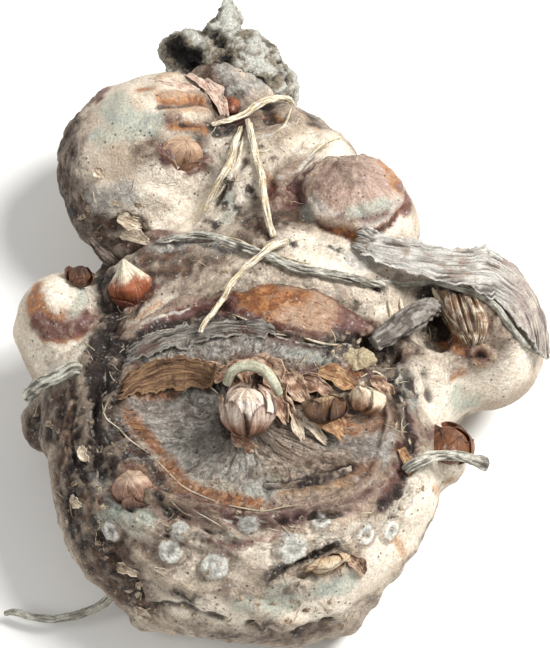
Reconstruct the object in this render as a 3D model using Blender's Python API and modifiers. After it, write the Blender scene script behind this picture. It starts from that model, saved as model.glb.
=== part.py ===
# Calla lily tuber: one knobbly lump of flesh with its offsets, dry shoots, papery leaf bases and root ends.
# Lengths in the tables are mm; the meshes are in metres. +Z is up, +X to the right, +Y away from the viewer.
# The origin is on the ground, in the middle of the spot the main disc rests on.
from math import cos, pi, radians, sin

import bmesh
import bpy
import numpy as np
from mathutils import Matrix, Vector
from mathutils.bvhtree import BVHTree

MM = 0.001
BODY_VOXEL = 1.0
BODY_TRIANGLES = 7800
SKIN_GAP = 0.35
SHEET_THICKNESS = 0.75

# Lobes of the tuber: centre, half sizes, turn about x, y and z in degrees, width of the soft join.
LOBES = {
    "main": ((0.0, 0.0, 17.0), (33.8, 32.4, 19.0), (0, 0, 0), 1.0),
    "front": ((3.2, -18.6, 11.5), (22.0, 14.6, 11.6), (0, 0, 0), 11.0),
    "front_left": ((-13.0, -21.5, 8.5), (10.5, 8.5, 8.2), (0, 0, 0), 6.0),
    "left_flank": ((-20.0, -12.0, 13.0), (11.6, 13.0, 12.0), (0, 0, 0), 5.0),
    "front_right": ((12.6, -24.6, 8.0), (10.0, 9.0, 8.0), (0, 0, 0), 4.0),
    "right_flank": ((25.2, -5.6, 14.0), (7.2, 10.0, 11.0), (0, 0, 20), 8.0),
    "shoulder": ((8.4, 29.1, 17.0), (25.0, 14.0, 15.0), (0, 0, -6), 10.0),
    "left_shoulder": ((-15.8, 29.7, 16.0), (13.0, 11.0, 13.5), (0, 0, 0), 7.0),
    "left_skirt": ((-27.1, 9.5, 15.0), (8.0, 12.0, 12.0), (0, 0, 10), 7.0),
    "upper": ((3.2, 50.9, 15.2), (15.0, 18.0, 15.7), (0, 0, 0), 7.0),
    "upper_right": ((11.4, 59.3, 15.0), (8.0, 12.0, 12.0), (0, 0, 48), 5.0),
    "far_end": ((-3.5, 74.0, 13.5), (10.0, 8.5, 11.0), (0, 0, 0), 6.0),
    "left_globe": ((-18.0, 58.6, 16.4), (16.2, 18.0, 17.0), (0, 0, -30), 3.5),
    "right_globe": ((19.6, 42.9, 20.5), (12.4, 11.4, 13.5), (0, 0, 0), 2.5),
    "far_right": ((43.6, 21.2, 16.5), (10.8, 12.5, 13.0), (0, 0, 12), 3.0),
    "right_neck": ((31.7, 12.5, 15.0), (8.0, 11.0, 12.0), (0, 0, -25), 6.0),
    "right_shoulder": ((33.4, 26.4, 13.0), (7.0, 8.0, 12.0), (0, 0, 0), 5.0),
    "left_offset": ((-32.8, 20.6, 18.6), (8.0, 8.6, 12.2), (-30, -6, 0), 2.5),
    "left_neck": ((-28.4, 15.2, 15.0), (6.0, 6.0, 8.0), (0, 0, 0), 4.0),
    "right_nub": ((35.3, -3.6, 17.0), (3.9, 4.8, 5.0), (0, 0, 0), 2.0),
    "dark_lump": ((-35.1, 7.8, 9.0), (4.8, 5.0, 5.0), (0, 0, 0), 3.0),
    "crumb": ((-17.3, -28.6, 6.6), (2.2, 2.4, 2.6), (0, 0, 0), 2.0),
}

# Hollows worn or rotted into the flesh, laid out in the same way.
HOLLOWS = {
    "behind_crown": ((23.1, 11.7, 30.0), (5.5, 3.0, 6.0), (0, 0, -30), 1.5),
    "under_sheath": ((34.0, 18.2, 27.0), (4.4, 5.0, 7.0), (0, 0, 20), 1.5),
    "left_pocket": ((-18.1, -15.0, 33.2), (3.6, 3.6, 4.0), (0, 0, 0), 1.0),
    "front_slit": ((13.2, -27.0, 25.6), (6.6, 1.5, 3.0), (0, 0, 22), 0.8),
    "throat": ((-22.8, 33.8, 24.0), (6.0, 3.0, 8.0), (0, 0, 20), 2.0),
}

# Low domes on the skin: centre, radius, height. The small ones are where roots have dropped off.
DOMES = [
    ((-11.9, -25.7, 27.1), 2.6, 0.7),
    ((-10.1, -23.0, 29.5), 2.2, 0.6),
    ((-4.4, -28.4, 27.0), 2.9, 0.8),
    ((1.3, -22.6, 31.2), 2.3, 0.6),
    ((-21.6, -21.0, 25.0), 2.2, 0.5),
    ((13.4, -21.6, 29.8), 2.1, 0.6),
    ((8.6, -25.6, 28.7), 3.4, 0.7),
    ((21.0, -22.0, 25.9), 2.3, 0.5),
    ((25.5, -20.0, 22.9), 2.3, 0.5),
    ((19.4, 46.3, 34.0), 3.2, 1.4),
    ((42.4, 12.2, 25.6), 3.0, 0.8),
]

# Raised cords of dry tissue grown onto the skin: points along each one, width, height.
RIDGES = [
    (((17.5, 59.5, 27.0), (12.1, 54.6, 29.5), (7.5, 47.1, 31.0), (5.8, 42.4, 31.0)), 1.3, 1.0),
    (((8.5, 66.0, 25.0), (8.0, 58.0, 29.0), (1.0, 56.0, 31.0)), 1.1, 0.7),
    (((36.0, 9.0, 26.0), (29.5, 10.5, 28.0), (27.5, 2.0, 29.5), (28.5, -6.0, 28.0)), 2.2, 1.0),
]

CROWN_CENTRE = (0.9, -4.1)
CROWN_HALF = (24.6, 16.8)
SCAR_CENTRE = (9.6, 16.9)
SCAR_HALF = (13.2, 4.9)
SCAR_TURN = -12.0
CAP_CENTRE = (20.0, 44.0, 36.0)
CAP_RADIUS = 10.5

# Lumps of the withered growth at the far end: centre, half sizes.
CRUST_LUMPS = [
    ((-2.2, 80.0, 16.0), (9.8, 8.6, 9.8)),
    ((-10.6, 82.6, 17.6), (4.8, 5.4, 5.6)),
    ((4.4, 77.5, 14.5), (5.2, 6.0, 7.6)),
    ((-4.2, 86.2, 18.6), (4.2, 4.4, 5.2)),
    ((-3.8, 89.6, 20.4), (2.6, 3.6, 3.6)),
    ((-3.5, 92.0, 21.4), (1.5, 2.6, 2.2)),
    ((-13.4, 84.4, 18.8), (2.6, 3.4, 3.0)),
]

# Buds: base centre, the way each one points, width, depth, height, folds round it, sharpness of the tip.
BUDS = {
    "crown_bud": ((1.0, -4.2, 34.0), (-0.02, -0.12, 1.0), 4.2, 4.2, 8.4, 9, 0.45),
    "amber_bud": ((13.4, -3.4, 32.6), (0.3, 0.25, 1.0), 3.6, 2.4, 5.4, 5, 1.0),
    "pale_bud": ((21.6, -0.8, 30.6), (-0.35, 0.35, 1.0), 3.4, 2.2, 5.6, 5, 1.3),
    "spear_bud": ((-19.0, 22.6, 25.4), (-0.3, 0.8, 0.95), 4.3, 4.0, 9.4, 4, 1.7),
    "globe_bud": ((-12.4, 54.0, 27.4), (0.42, -0.5, 0.95), 4.2, 3.7, 6.4, 6, 1.1),
    "offset_bud": ((-29.6, 26.2, 27.6), (0.25, 0.3, 0.9), 2.2, 2.0, 4.2, 5, 0.9),
    "pocket_bud": ((-18.0, -14.8, 28.2), (-0.12, -0.3, 0.95), 3.5, 3.3, 5.4, 6, 1.0),
    "nub_scale": ((35.4, -3.0, 18.4), (0.2, 0.25, 0.9), 4.2, 4.0, 5.8, 4, 0.9),
    "slit_scale": ((14.2, -26.0, 24.0), (0.15, -0.8, 0.9), 3.6, 1.3, 4.6, 3, 0.9),
}
BUD_TURNS = {"amber_bud": 25, "pale_bud": -30, "slit_scale": 20}

# Roots and stems: points along each one, then the radius at each point.
CROWN_SHOOT = (
    ((-2.6, 0.4, 37.4), (-1.6, 1.6, 39.6), (0.8, 2.3, 40.6), (3.6, 1.7, 40.3), (5.4, 0.0, 39.2),
     (6.4, -1.6, 37.4)),
    (1.25, 1.35, 1.4, 1.3, 1.2, 1.0),
)
LYING_ROOTS = {
    "dry_root_top": (
        ((11.0, 72.6), (6.6, 69.6), (2.5, 66.1), (-0.9, 62.1), (-5.9, 58.8)),
        (0.45, 0.65, 0.75, 0.65, 0.4),
    ),
    "dry_root_long": (
        ((0.6, 61.0), (1.4, 54.8), (2.9, 46.5), (4.0, 40.0), (5.3, 32.6)),
        (0.45, 0.65, 0.7, 0.65, 0.6),
    ),
    "dry_root_left": (
        ((-0.6, 58.4), (-2.4, 51.6), (-4.6, 46.3), (-7.4, 42.0)),
        (0.45, 0.6, 0.55, 0.35),
    ),
    "dry_root_front": (
        ((8.0, 31.4), (3.4, 27.6), (-1.3, 21.8), (-4.7, 15.4), (-7.2, 10.6)),
        (0.75, 0.65, 0.55, 0.5, 0.4),
    ),
}
SHEATH_CORD = (
    ((-15.8, 32.9), (-7.7, 33.8), (-1.4, 31.0), (3.9, 28.2), (10.0, 25.4), (18.8, 24.4), (25.4, 24.2),
     (31.6, 24.0)),
    (0.4, 0.6, 0.75, 0.8, 0.8, 0.75, 0.65, 0.5),
)
HOOKED_ROOT = (
    ((-20.0, -21.0, 8.4), (-22.1, -23.6, 7.0), (-23.9, -25.4, 5.6), (-26.8, -26.9, 4.8), (-30.3, -27.8, 4.2),
     (-33.8, -28.1, 3.8), (-37.4, -27.4, 3.4), (-40.1, -26.4, 3.0), (-42.1, -26.6, 2.7)),
    (1.0, 0.95, 0.85, 0.8, 0.75, 0.7, 0.65, 0.6, 0.4),
)
RIGHT_ROOT_STUB = (
    ((27.6, -11.2, 28.0), (30.4, -9.6, 27.4), (34.0, -7.8, 25.6), (37.6, -6.9, 23.6), (40.3, -7.0, 22.6),
     (42.6, -7.1, 22.2)),
    (0.9, 1.0, 0.95, 0.85, 1.0, 1.35),
)
LEFT_ROOT_STUB = (
    ((-28.4, 7.7, 27.0), (-31.6, 6.8, 24.0), (-34.8, 6.7, 20.0), (-37.8, 7.0, 16.5)),
    (1.2, 1.25, 1.3, 1.5),
)
SHEATH_STUMP = (
    ((34.0, 22.6, 26.0), (31.4, 19.8, 28.2), (28.4, 17.2, 29.4), (25.4, 14.4, 30.2), (22.6, 12.2, 30.6)),
    (1.7, 2.1, 2.2, 1.9, 1.3),
)
THROAT_SPIKE = (
    ((-23.0, 35.2, 18.0), (-24.8, 35.4, 21.0), (-26.4, 36.2, 23.0), (-28.0, 37.6, 24.6)),
    (1.3, 1.1, 0.75, 0.35),
)

# Dry sheets: the two long edges, as points x, y and least height z.
SHEATH_BACK = (
    ((19.6, 35.2, 31.0), (25.2, 33.8, 31.8), (30.5, 32.4, 32.2), (35.8, 31.4, 32.0), (40.2, 31.6, 31.4),
     (43.8, 32.0, 30.4), (47.6, 30.0, 28.8), (51.2, 26.4, 26.4), (53.8, 20.8, 23.8), (54.6, 15.4, 21.0)),
    ((18.8, 31.6, 30.4), (24.6, 28.4, 31.0), (29.5, 25.9, 31.2), (34.7, 24.3, 31.2), (40.0, 23.2, 31.0),
     (44.4, 21.0, 30.2), (47.6, 17.6, 28.4), (50.0, 15.4, 26.0), (52.2, 14.4, 23.6), (54.0, 13.8, 21.4)),
)
CROWN_MEMBRANE = (
    ((-20.6, 9.4, 0), (-14.4, 12.4, 0), (-7.3, 13.6, 0), (-0.4, 14.2, 0), (5.4, 13.6, 0)),
    ((-20.4, 6.4, 0), (-13.8, 8.4, 0), (-7.3, 9.6, 0), (-0.4, 10.6, 0), (6.0, 10.8, 0)),
)
CROWN_SCALE = (
    ((-20.8, 3.6, 33.2), (-16.4, 6.2, 35.4), (-11.4, 7.0, 36.8), (-6.6, 5.8, 37.6), (-3.4, 3.4, 37.8)),
    ((-21.4, 0.0, 30.2), (-16.4, 1.4, 31.4), (-11.4, 1.6, 32.6), (-6.8, 1.2, 33.6), (-4.0, 0.4, 34.6)),
)
GRAIN_MIDDLE = (19.9, 8.4, 31.8)
GRAIN_COUNT = 16

COLOURS = {
    "tuber_body": (0.62, 0.50, 0.36),
    "withered_crust": (0.36, 0.35, 0.31),
    "crown_bud": (0.55, 0.36, 0.28),
    "crown_shoot": (0.62, 0.66, 0.46),
    "amber_bud": (0.46, 0.24, 0.09),
    "pale_bud": (0.78, 0.62, 0.44),
    "spear_bud": (0.66, 0.42, 0.24),
    "globe_bud": (0.60, 0.38, 0.24),
    "offset_bud": (0.50, 0.32, 0.20),
    "pocket_bud": (0.62, 0.40, 0.28),
    "nub_scale": (0.40, 0.17, 0.06),
    "slit_scale": (0.62, 0.44, 0.24),
    "leaf_sheath": (0.55, 0.50, 0.44),
    "sheath_cord": (0.45, 0.42, 0.36),
    "sheath_stump": (0.30, 0.28, 0.26),
    "crown_membrane": (0.36, 0.32, 0.30),
    "crown_scale": (0.48, 0.25, 0.08),
    "dry_root_top": (0.70, 0.63, 0.50),
    "dry_root_long": (0.70, 0.63, 0.50),
    "dry_root_left": (0.66, 0.58, 0.44),
    "dry_root_front": (0.72, 0.64, 0.50),
    "hooked_root": (0.45, 0.43, 0.40),
    "right_root_stub": (0.50, 0.49, 0.42),
    "left_root_stub": (0.52, 0.49, 0.40),
    "throat_spike": (0.22, 0.18, 0.16),
    "soil_grains": (0.62, 0.55, 0.42),
}


def turned(angles):
    """The matrix that turns about x, then y, then z."""
    a, b, c = np.radians(angles)
    about_x = np.array([[1, 0, 0], [0, np.cos(a), -np.sin(a)], [0, np.sin(a), np.cos(a)]])
    about_y = np.array([[np.cos(b), 0, np.sin(b)], [0, 1, 0], [-np.sin(b), 0, np.cos(b)]])
    about_z = np.array([[np.cos(c), -np.sin(c), 0], [np.sin(c), np.cos(c), 0], [0, 0, 1]])
    return about_z @ about_y @ about_x


def ellipsoid(p, centre, half, angles):
    """Distance from an ellipsoid, near enough close to its surface."""
    q = (p - np.array(centre)) @ turned(angles)
    half = np.array(half)
    inner = np.linalg.norm(q / half, axis=-1)
    slope = np.linalg.norm(q / half ** 2, axis=-1)
    return inner * (inner - 1) / np.maximum(slope, 1e-6)


def soft_min(a, b, width):
    """The lesser of two values, with the corner rounded over that width."""
    near = np.maximum(width - np.abs(a - b), 0) / width
    return np.minimum(a, b) - near * near * width / 4


def ease(x, start, end):
    """0 at the start, 1 at the end, with a smooth rise between."""
    t = np.clip((x - start) / (end - start), 0, 1)
    return t * t * (3 - 2 * t)


def bell(x, at, width):
    """A bell of height 1 centred at that value."""
    return np.exp(-((x - at) / width) ** 2)


def noise(p, size, seed):
    """Smooth noise from -1 to 1: random values on a cubic lattice of that size, blended between."""
    q = p / size
    low = np.floor(q).astype(np.int64)
    part = q - low
    part = part * part * (3 - 2 * part)
    total = np.zeros(p.shape[:-1])
    for corner in range(8):
        side = np.array([corner & 1, corner >> 1 & 1, corner >> 2 & 1])
        cell = low + side
        key = cell[..., 0] * 73856093 ^ cell[..., 1] * 19349663 ^ cell[..., 2] * 83492791
        key = (key ^ seed * 2654435761) & 0xFFFFFFFF
        key = ((key ^ (key >> 15)) * 2246822519) & 0xFFFFFFFF
        key = ((key ^ (key >> 13)) * 3266489917) & 0xFFFFFFFF
        value = ((key >> 8) & 0xFFFF) / 32767.5 - 1
        total += value * np.prod(np.where(side == 1, part, 1 - part), axis=-1)
    return total


def crown_place(p):
    """How far out from the crown's middle (1 at its rim), and the bearing in radians."""
    x = (p[..., 0] + 1.2 * noise(p, 8.0, 1) - CROWN_CENTRE[0]) / CROWN_HALF[0]
    y = (p[..., 1] + 1.2 * noise(p, 8.0, 2) - CROWN_CENTRE[1]) / CROWN_HALF[1]
    return np.hypot(x, y), np.arctan2(y, x)


def crown_relief(p):
    """Height of the crown: a dish with its deepest side to the front left, a thin rim, then worn rings."""
    out, bearing = crown_place(p)
    front_left = 0.5 + 0.5 * np.cos(bearing - np.radians(215))
    back = ease(np.sin(bearing), 0.55, 0.95)
    dish = -(1.7 + 3.2 * front_left) * ease(out, 1.0, 0.55) * (1 - 0.8 * ease(out, 0.32, 0.05))
    fold = 1.3 * bell(out, 0.68, 0.06) * (1 - front_left) * ease(np.sin(bearing), 0.3, -0.2)
    rim = 0.9 * bell(out, 1.01, 0.045)
    rings = (0.8 * bell(out, 1.27, 0.07) - 0.6 * bell(out, 1.12, 0.06) - 0.6 * bell(out, 1.4, 0.06))
    rings = rings * (1 - back)
    return (dish + fold + rim + rings * (0.7 + 0.5 * noise(p, 6.0, 3))) * ease(p[..., 2], 21, 28)


def scar_relief(p):
    """Height of the oval bud scar behind the crown, lens shaped with a raised lip."""
    turn = np.radians(SCAR_TURN)
    x = p[..., 0] - SCAR_CENTRE[0]
    y = p[..., 1] - SCAR_CENTRE[1]
    u = (x * np.cos(turn) + y * np.sin(turn)) / SCAR_HALF[0]
    v = (-x * np.sin(turn) + y * np.cos(turn)) / SCAR_HALF[1]
    out = np.sqrt(u * u + v * v * (1 + 0.8 * u * u))
    lens = 1.3 * ease(out, 1.04, 0.7) + 0.5 * bell(out, 0.95, 0.1)
    return (lens - 0.7 * bell(out, 1.2, 0.1)) * ease(p[..., 2], 20, 26)


def cap_relief(p):
    """Height of the cap on the right globe, a plate with a stepped edge."""
    out = np.linalg.norm(p - np.array(CAP_CENTRE), axis=-1) + 0.6 * noise(p, 4.0, 7)
    return 0.8 * ease(out, CAP_RADIUS + 0.6, CAP_RADIUS - 0.6) - 0.5 * bell(out, CAP_RADIUS + 1.0, 0.7)


def line_distance(p, points):
    """Distance from a broken line."""
    best = np.full(p.shape[:-1], 1e9)
    for a, b in zip(points[:-1], points[1:]):
        a = np.array(a)
        along = np.array(b) - a
        share = np.clip(((p - a) @ along) / (along @ along), 0, 1)
        best = np.minimum(best, np.linalg.norm(p - a - share[..., None] * along, axis=-1))
    return best


def small_relief(p):
    """Height of the domes and cords on the skin."""
    total = np.zeros(p.shape[:-1])
    for centre, radius, height in DOMES:
        out = np.linalg.norm(p - np.array(centre), axis=-1) / radius
        total += height * np.clip(1 - out * out, 0, 1) ** 2 * 1.6
    for points, width, height in RIDGES:
        total += height * bell(line_distance(p, points), 0, width)
    return total


def skin_lumps(p):
    """Unevenness all over the skin."""
    return 0.6 * noise(p, 7.0, 5) + 0.3 * noise(p, 3.2, 6)


def plain_body(p):
    """Distance from the joined lobes with the hollows taken out."""
    value = None
    for centre, half, angles, width in LOBES.values():
        lobe = ellipsoid(p, centre, half, angles)
        value = lobe if value is None else soft_min(value, lobe, width)
    for centre, half, angles, width in HOLLOWS.values():
        value = -soft_min(-value, ellipsoid(p, centre, half, angles), width)
    return value


def tuber_field(p):
    """Distance from the finished skin: below 0 inside the flesh."""
    relief = crown_relief(p) + scar_relief(p) + cap_relief(p) + small_relief(p) + skin_lumps(p)
    return plain_body(p) - relief


def clear_scene():
    """Take out whatever the scene holds."""
    for obj in list(bpy.data.objects):
        bpy.data.objects.remove(obj, do_unlink=True)


def new_collection(name):
    """A collection of that name under the scene."""
    group = bpy.data.collections.new(name)
    bpy.context.scene.collection.children.link(group)
    return group


def material_for(name):
    """A rough, dry surface in the colour listed for the node."""
    surface = bpy.data.materials.new(name)
    surface.use_nodes = True
    shader = surface.node_tree.nodes["Principled BSDF"]
    shader.inputs["Base Color"].default_value = (*COLOURS[name], 1.0)
    shader.inputs["Roughness"].default_value = 0.8
    shader.inputs["Metallic"].default_value = 0.0
    return surface


def link_object(name, mesh, group):
    """Put a mesh into the collection as an object of that name."""
    obj = bpy.data.objects.new(name, mesh)
    group.objects.link(obj)
    return obj


def object_from_bmesh(name, shape, group):
    """Turn a bmesh into an object and free the bmesh."""
    mesh = bpy.data.meshes.new(name)
    shape.to_mesh(mesh)
    shape.free()
    return link_object(name, mesh, group)


def points_of(obj):
    """The vertices of an object in mm."""
    flat = np.empty(len(obj.data.vertices) * 3)
    obj.data.vertices.foreach_get("co", flat)
    return flat.reshape(-1, 3) / MM


def set_points(obj, points):
    """Move the vertices of an object to those places in mm."""
    obj.data.vertices.foreach_set("co", (points * MM).ravel())
    obj.data.update()


def bake(obj):
    """Replace the mesh of an object by the result of its modifiers."""
    bpy.context.view_layer.update()
    graph = bpy.context.evaluated_depsgraph_get()
    fresh = bpy.data.meshes.new_from_object(obj.evaluated_get(graph))
    old = obj.data
    obj.modifiers.clear()
    obj.data = fresh
    bpy.data.meshes.remove(old)


def remesh(obj, size):
    """Rebuild an object as one skin on a grid of that size in mm."""
    step = obj.modifiers.new("remesh", "REMESH")
    step.mode = "VOXEL"
    step.voxel_size = size * MM
    bake(obj)


def thin_out(obj, triangles):
    """Cut the triangle count down to about that number."""
    clean(obj)
    step = obj.modifiers.new("decimate", "DECIMATE")
    step.ratio = min(1.0, triangles / len(obj.data.polygons))
    bake(obj)
    clean(obj)


def subtract(obj, cutter):
    """Take the cutter's volume out of an object."""
    step = obj.modifiers.new("subtract", "BOOLEAN")
    step.operation = "DIFFERENCE"
    step.solver = "EXACT"
    step.object = cutter
    bake(obj)


def largest_piece(shape):
    """Delete all but the piece of a bmesh with the most faces."""
    left = set(shape.verts)
    pieces = []
    while left:
        stack = [left.pop()]
        piece = set(stack)
        while stack:
            for edge in stack.pop().link_edges:
                for vert in edge.verts:
                    if vert in left:
                        left.remove(vert)
                        piece.add(vert)
                        stack.append(vert)
        pieces.append(piece)
    keep = max(pieces, key=len)
    spare = [vert for vert in shape.verts if vert not in keep]
    bmesh.ops.delete(shape, geom=spare, context="VERTS")


def clean(obj):
    """Merge doubled points, drop loose bits, split into triangles and face them outward."""
    shape = bmesh.new()
    shape.from_mesh(obj.data)
    bmesh.ops.remove_doubles(shape, verts=shape.verts, dist=2e-6)
    bmesh.ops.dissolve_degenerate(shape, edges=shape.edges, dist=2e-6)
    bmesh.ops.triangulate(shape, faces=shape.faces)
    largest_piece(shape)
    bmesh.ops.recalc_face_normals(shape, faces=shape.faces)
    shape.to_mesh(obj.data)
    shape.free()


def tree_of(obj):
    """A search tree of an object's faces, in mm."""
    faces = [tuple(face.vertices) for face in obj.data.polygons]
    return BVHTree.FromPolygons([Vector(point) for point in points_of(obj)], faces)


def swollen(obj, gap, group):
    """A copy of an object grown outward by the gap, used to cut neighbours clear of it."""
    copy = link_object(obj.name + "_clearance", obj.data.copy(), group)
    copy.hide_render = True
    copy.display_type = "WIRE"
    normals = np.empty(len(copy.data.vertices) * 3)
    copy.data.vertices.foreach_get("normal", normals)
    set_points(copy, points_of(copy) + normals.reshape(-1, 3) * gap)
    return copy


def add_ball(shape, centre, half, angles, detail):
    """Add a stretched and turned ball to a bmesh."""
    place = Matrix.Translation(Vector(centre) * MM) @ Matrix(turned(angles).tolist()).to_4x4()
    place = place @ Matrix.Diagonal(Vector((*half, 1 / MM)) * MM)
    bmesh.ops.create_icosphere(shape, subdivisions=detail, radius=1.0, matrix=place)


def pulled(points, field, rounds):
    """Slide points along the field's slope until they lie on its zero surface."""
    reach = 0.2
    for _ in range(rounds):
        slope = np.empty_like(points)
        for axis in range(3):
            offset = np.eye(3)[axis] * reach
            slope[:, axis] = (field(points + offset) - field(points - offset)) / (2 * reach)
        size = np.maximum((slope ** 2).sum(axis=1), 0.2)
        move = (field(points) / size)[:, None] * slope
        length = np.linalg.norm(move, axis=1, keepdims=True)
        points = points - move * np.minimum(1.0, 0.9 / np.maximum(length, 1e-9))
    return points


def smooth_mesh(obj, strength):
    """Even out the spacing of the points once."""
    shape = bmesh.new()
    shape.from_mesh(obj.data)
    bmesh.ops.smooth_vert(
        shape, verts=shape.verts, factor=strength, use_axis_x=True, use_axis_y=True, use_axis_z=True
    )
    shape.to_mesh(obj.data)
    shape.free()


def make_tuber(group, spare):
    """The flesh: the lobes as one skin, hollows taken out, pulled onto the skin formula, flat underneath."""
    shape = bmesh.new()
    for centre, half, angles, _ in LOBES.values():
        add_ball(shape, centre, half, angles, 4)
    body = object_from_bmesh("tuber_body", shape, group)
    remesh(body, BODY_VOXEL)
    for name, (centre, half, angles, _) in HOLLOWS.items():
        shape = bmesh.new()
        add_ball(shape, centre, half, angles, 3)
        hollow = object_from_bmesh("hollow_" + name, shape, spare)
        subtract(body, hollow)
        bpy.data.objects.remove(hollow, do_unlink=True)
    remesh(body, BODY_VOXEL)
    for rounds in (5, 4, 3):
        smooth_mesh(body, 0.5)
        set_points(body, pulled(points_of(body), tuber_field, rounds))
    flatten_below(body)
    thin_out(body, BODY_TRIANGLES)
    flatten_below(body)
    return body


def flatten_below(obj):
    """Bring every point under the ground, or a hair above it, onto the ground."""
    points = points_of(obj)
    points[:, 2] = np.where(points[:, 2] < 0.04, 0.0, points[:, 2])
    set_points(obj, points)


def make_crust(group, cutter):
    """The withered growth at the far end: crumbling lumps with a pale horn, cut clear of the flesh."""
    shape = bmesh.new()
    for centre, half in CRUST_LUMPS:
        add_ball(shape, centre, half, (0, 0, 0), 3)
    crust = object_from_bmesh("withered_crust", shape, group)
    remesh(crust, 0.9)
    points = points_of(crust)
    normals = np.empty(points.size)
    crust.data.vertices.foreach_get("normal", normals)
    rough = 0.9 * noise(points, 4.0, 11) + 0.55 * noise(points, 1.9, 12)
    set_points(crust, points + normals.reshape(-1, 3) * rough[:, None])
    thin_out(crust, 950)
    subtract(crust, cutter)
    clean(crust)
    return crust


def make_bud(name, group, cutters):
    """A bud: a ball drawn out to a tip, with folds running up it, cut clear of what it grows from."""
    base, axis, width, depth, height, folds, sharp = BUDS[name]
    shape = bmesh.new()
    bmesh.ops.create_uvsphere(shape, u_segments=14, v_segments=9, radius=1.0)
    turn = Vector((0, 0, 1)).rotation_difference(Vector(axis)).to_matrix()
    about = Matrix.Rotation(radians(BUD_TURNS.get(name, 0)), 3, "Z")
    for vert in shape.verts:
        x, y, z = vert.co
        up = 0.5 + 0.5 * z
        bearing = np.arctan2(y, x)
        narrow = (1 - 0.55 * max(z, 0)) ** sharp
        fold = 1 + 0.07 * sin(folds * bearing + 2.5 * up) * (1 - z * z)
        place = Vector((x * width * narrow * fold, y * depth * narrow * fold, up * height))
        vert.co = (Vector(base) + turn @ about @ place) * MM
    bud = object_from_bmesh(name, shape, group)
    clean(bud)
    for cutter in cutters:
        subtract(bud, cutter)
    clean(bud)
    return bud


def make_tube(name, points, radii, group):
    """A root or stem: a round cord along the points, swelling and thinning as listed, with closed ends."""
    curve = bpy.data.curves.new(name, "CURVE")
    curve.dimensions = "3D"
    curve.fill_mode = "FULL"
    curve.bevel_depth = MM
    curve.bevel_resolution = 1
    curve.use_fill_caps = True
    line = curve.splines.new("POLY")
    line.points.add(len(points) - 1)
    for spot, point, radius in zip(line.points, points, radii):
        spot.co = (*(np.array(point) * MM), 1.0)
        spot.radius = radius
    holder = bpy.data.objects.new(name + "_path", curve)
    group.objects.link(holder)
    bpy.context.view_layer.update()
    graph = bpy.context.evaluated_depsgraph_get()
    mesh = bpy.data.meshes.new_from_object(holder.evaluated_get(graph))
    bpy.data.objects.remove(holder, do_unlink=True)
    mesh.name = name
    tube = link_object(name, mesh, group)
    clean(tube)
    return tube


def finer(values, count):
    """Values along a line, drawn through by a smooth curve and read off at that many even steps."""
    values = np.array(values, float)
    padded = np.concatenate([2 * values[:1] - values[1:2], values, 2 * values[-1:] - values[-2:-1]])
    place = np.linspace(0, len(values) - 1, count)
    at = np.minimum(place.astype(int), len(values) - 2)
    t = (place - at).reshape(-1, *[1] * (values.ndim - 1))
    a, b, c, d = padded[at], padded[at + 1], padded[at + 2], padded[at + 3]
    curved = (2 * a - 5 * b + 4 * c - d) * t * t + (3 * b - a - 3 * c + d) * t ** 3
    return 0.5 * (2 * b + (c - a) * t + curved)


def top_height(x, y, trees):
    """Height in mm of the highest surface at that place, or 0 where there is only ground."""
    best = 0.0
    for tree in trees:
        hit = tree.ray_cast(Vector((x, y, 90.0)), Vector((0, 0, -1)))
        if hit[0] is not None:
            best = max(best, hit[0].z)
    return best


def least_height(x, y, reach, trees):
    """The highest surface within that reach of a place."""
    around = [(0, 0)] + [(reach * cos(k * pi / 4), reach * sin(k * pi / 4)) for k in range(8)]
    return max(top_height(x + dx, y + dy, trees) for dx, dy in around)


def nearest_gap(point, trees):
    """Distance in mm from a point to the nearest surface."""
    return min(tree.find_nearest(Vector(point))[3] for tree in trees)


def make_lying_root(name, path, radii, group, trees):
    """A dry root lying like a taut string over whatever is under it, clear of it by the gap."""
    count = 4 * len(path) - 3
    flat = finer([(*point, 0.0)[:3] for point in path], count)
    thick = finer(radii, count)
    flat[:, 0] += 0.35 * noise(flat * (1, 1, 0), 3.0, len(name))
    under = np.array([least_height(x, y, r + 0.35, trees) for (x, y, _), r in zip(flat, thick)])
    floor = np.maximum(under + thick + SKIN_GAP, flat[:, 2])
    height = floor.copy()
    for _ in range(60):
        height[1:-1] = np.maximum(floor[1:-1], 0.5 * (height[:-2] + height[2:]))
    points = np.column_stack([flat[:, :2], height])
    for _ in range(12):
        for point, radius in zip(points, thick):
            short = radius + SKIN_GAP - nearest_gap(point, trees)
            if short > 0:
                point[2] += short + 0.02
    return make_tube(name, points, thick, group)


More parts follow.
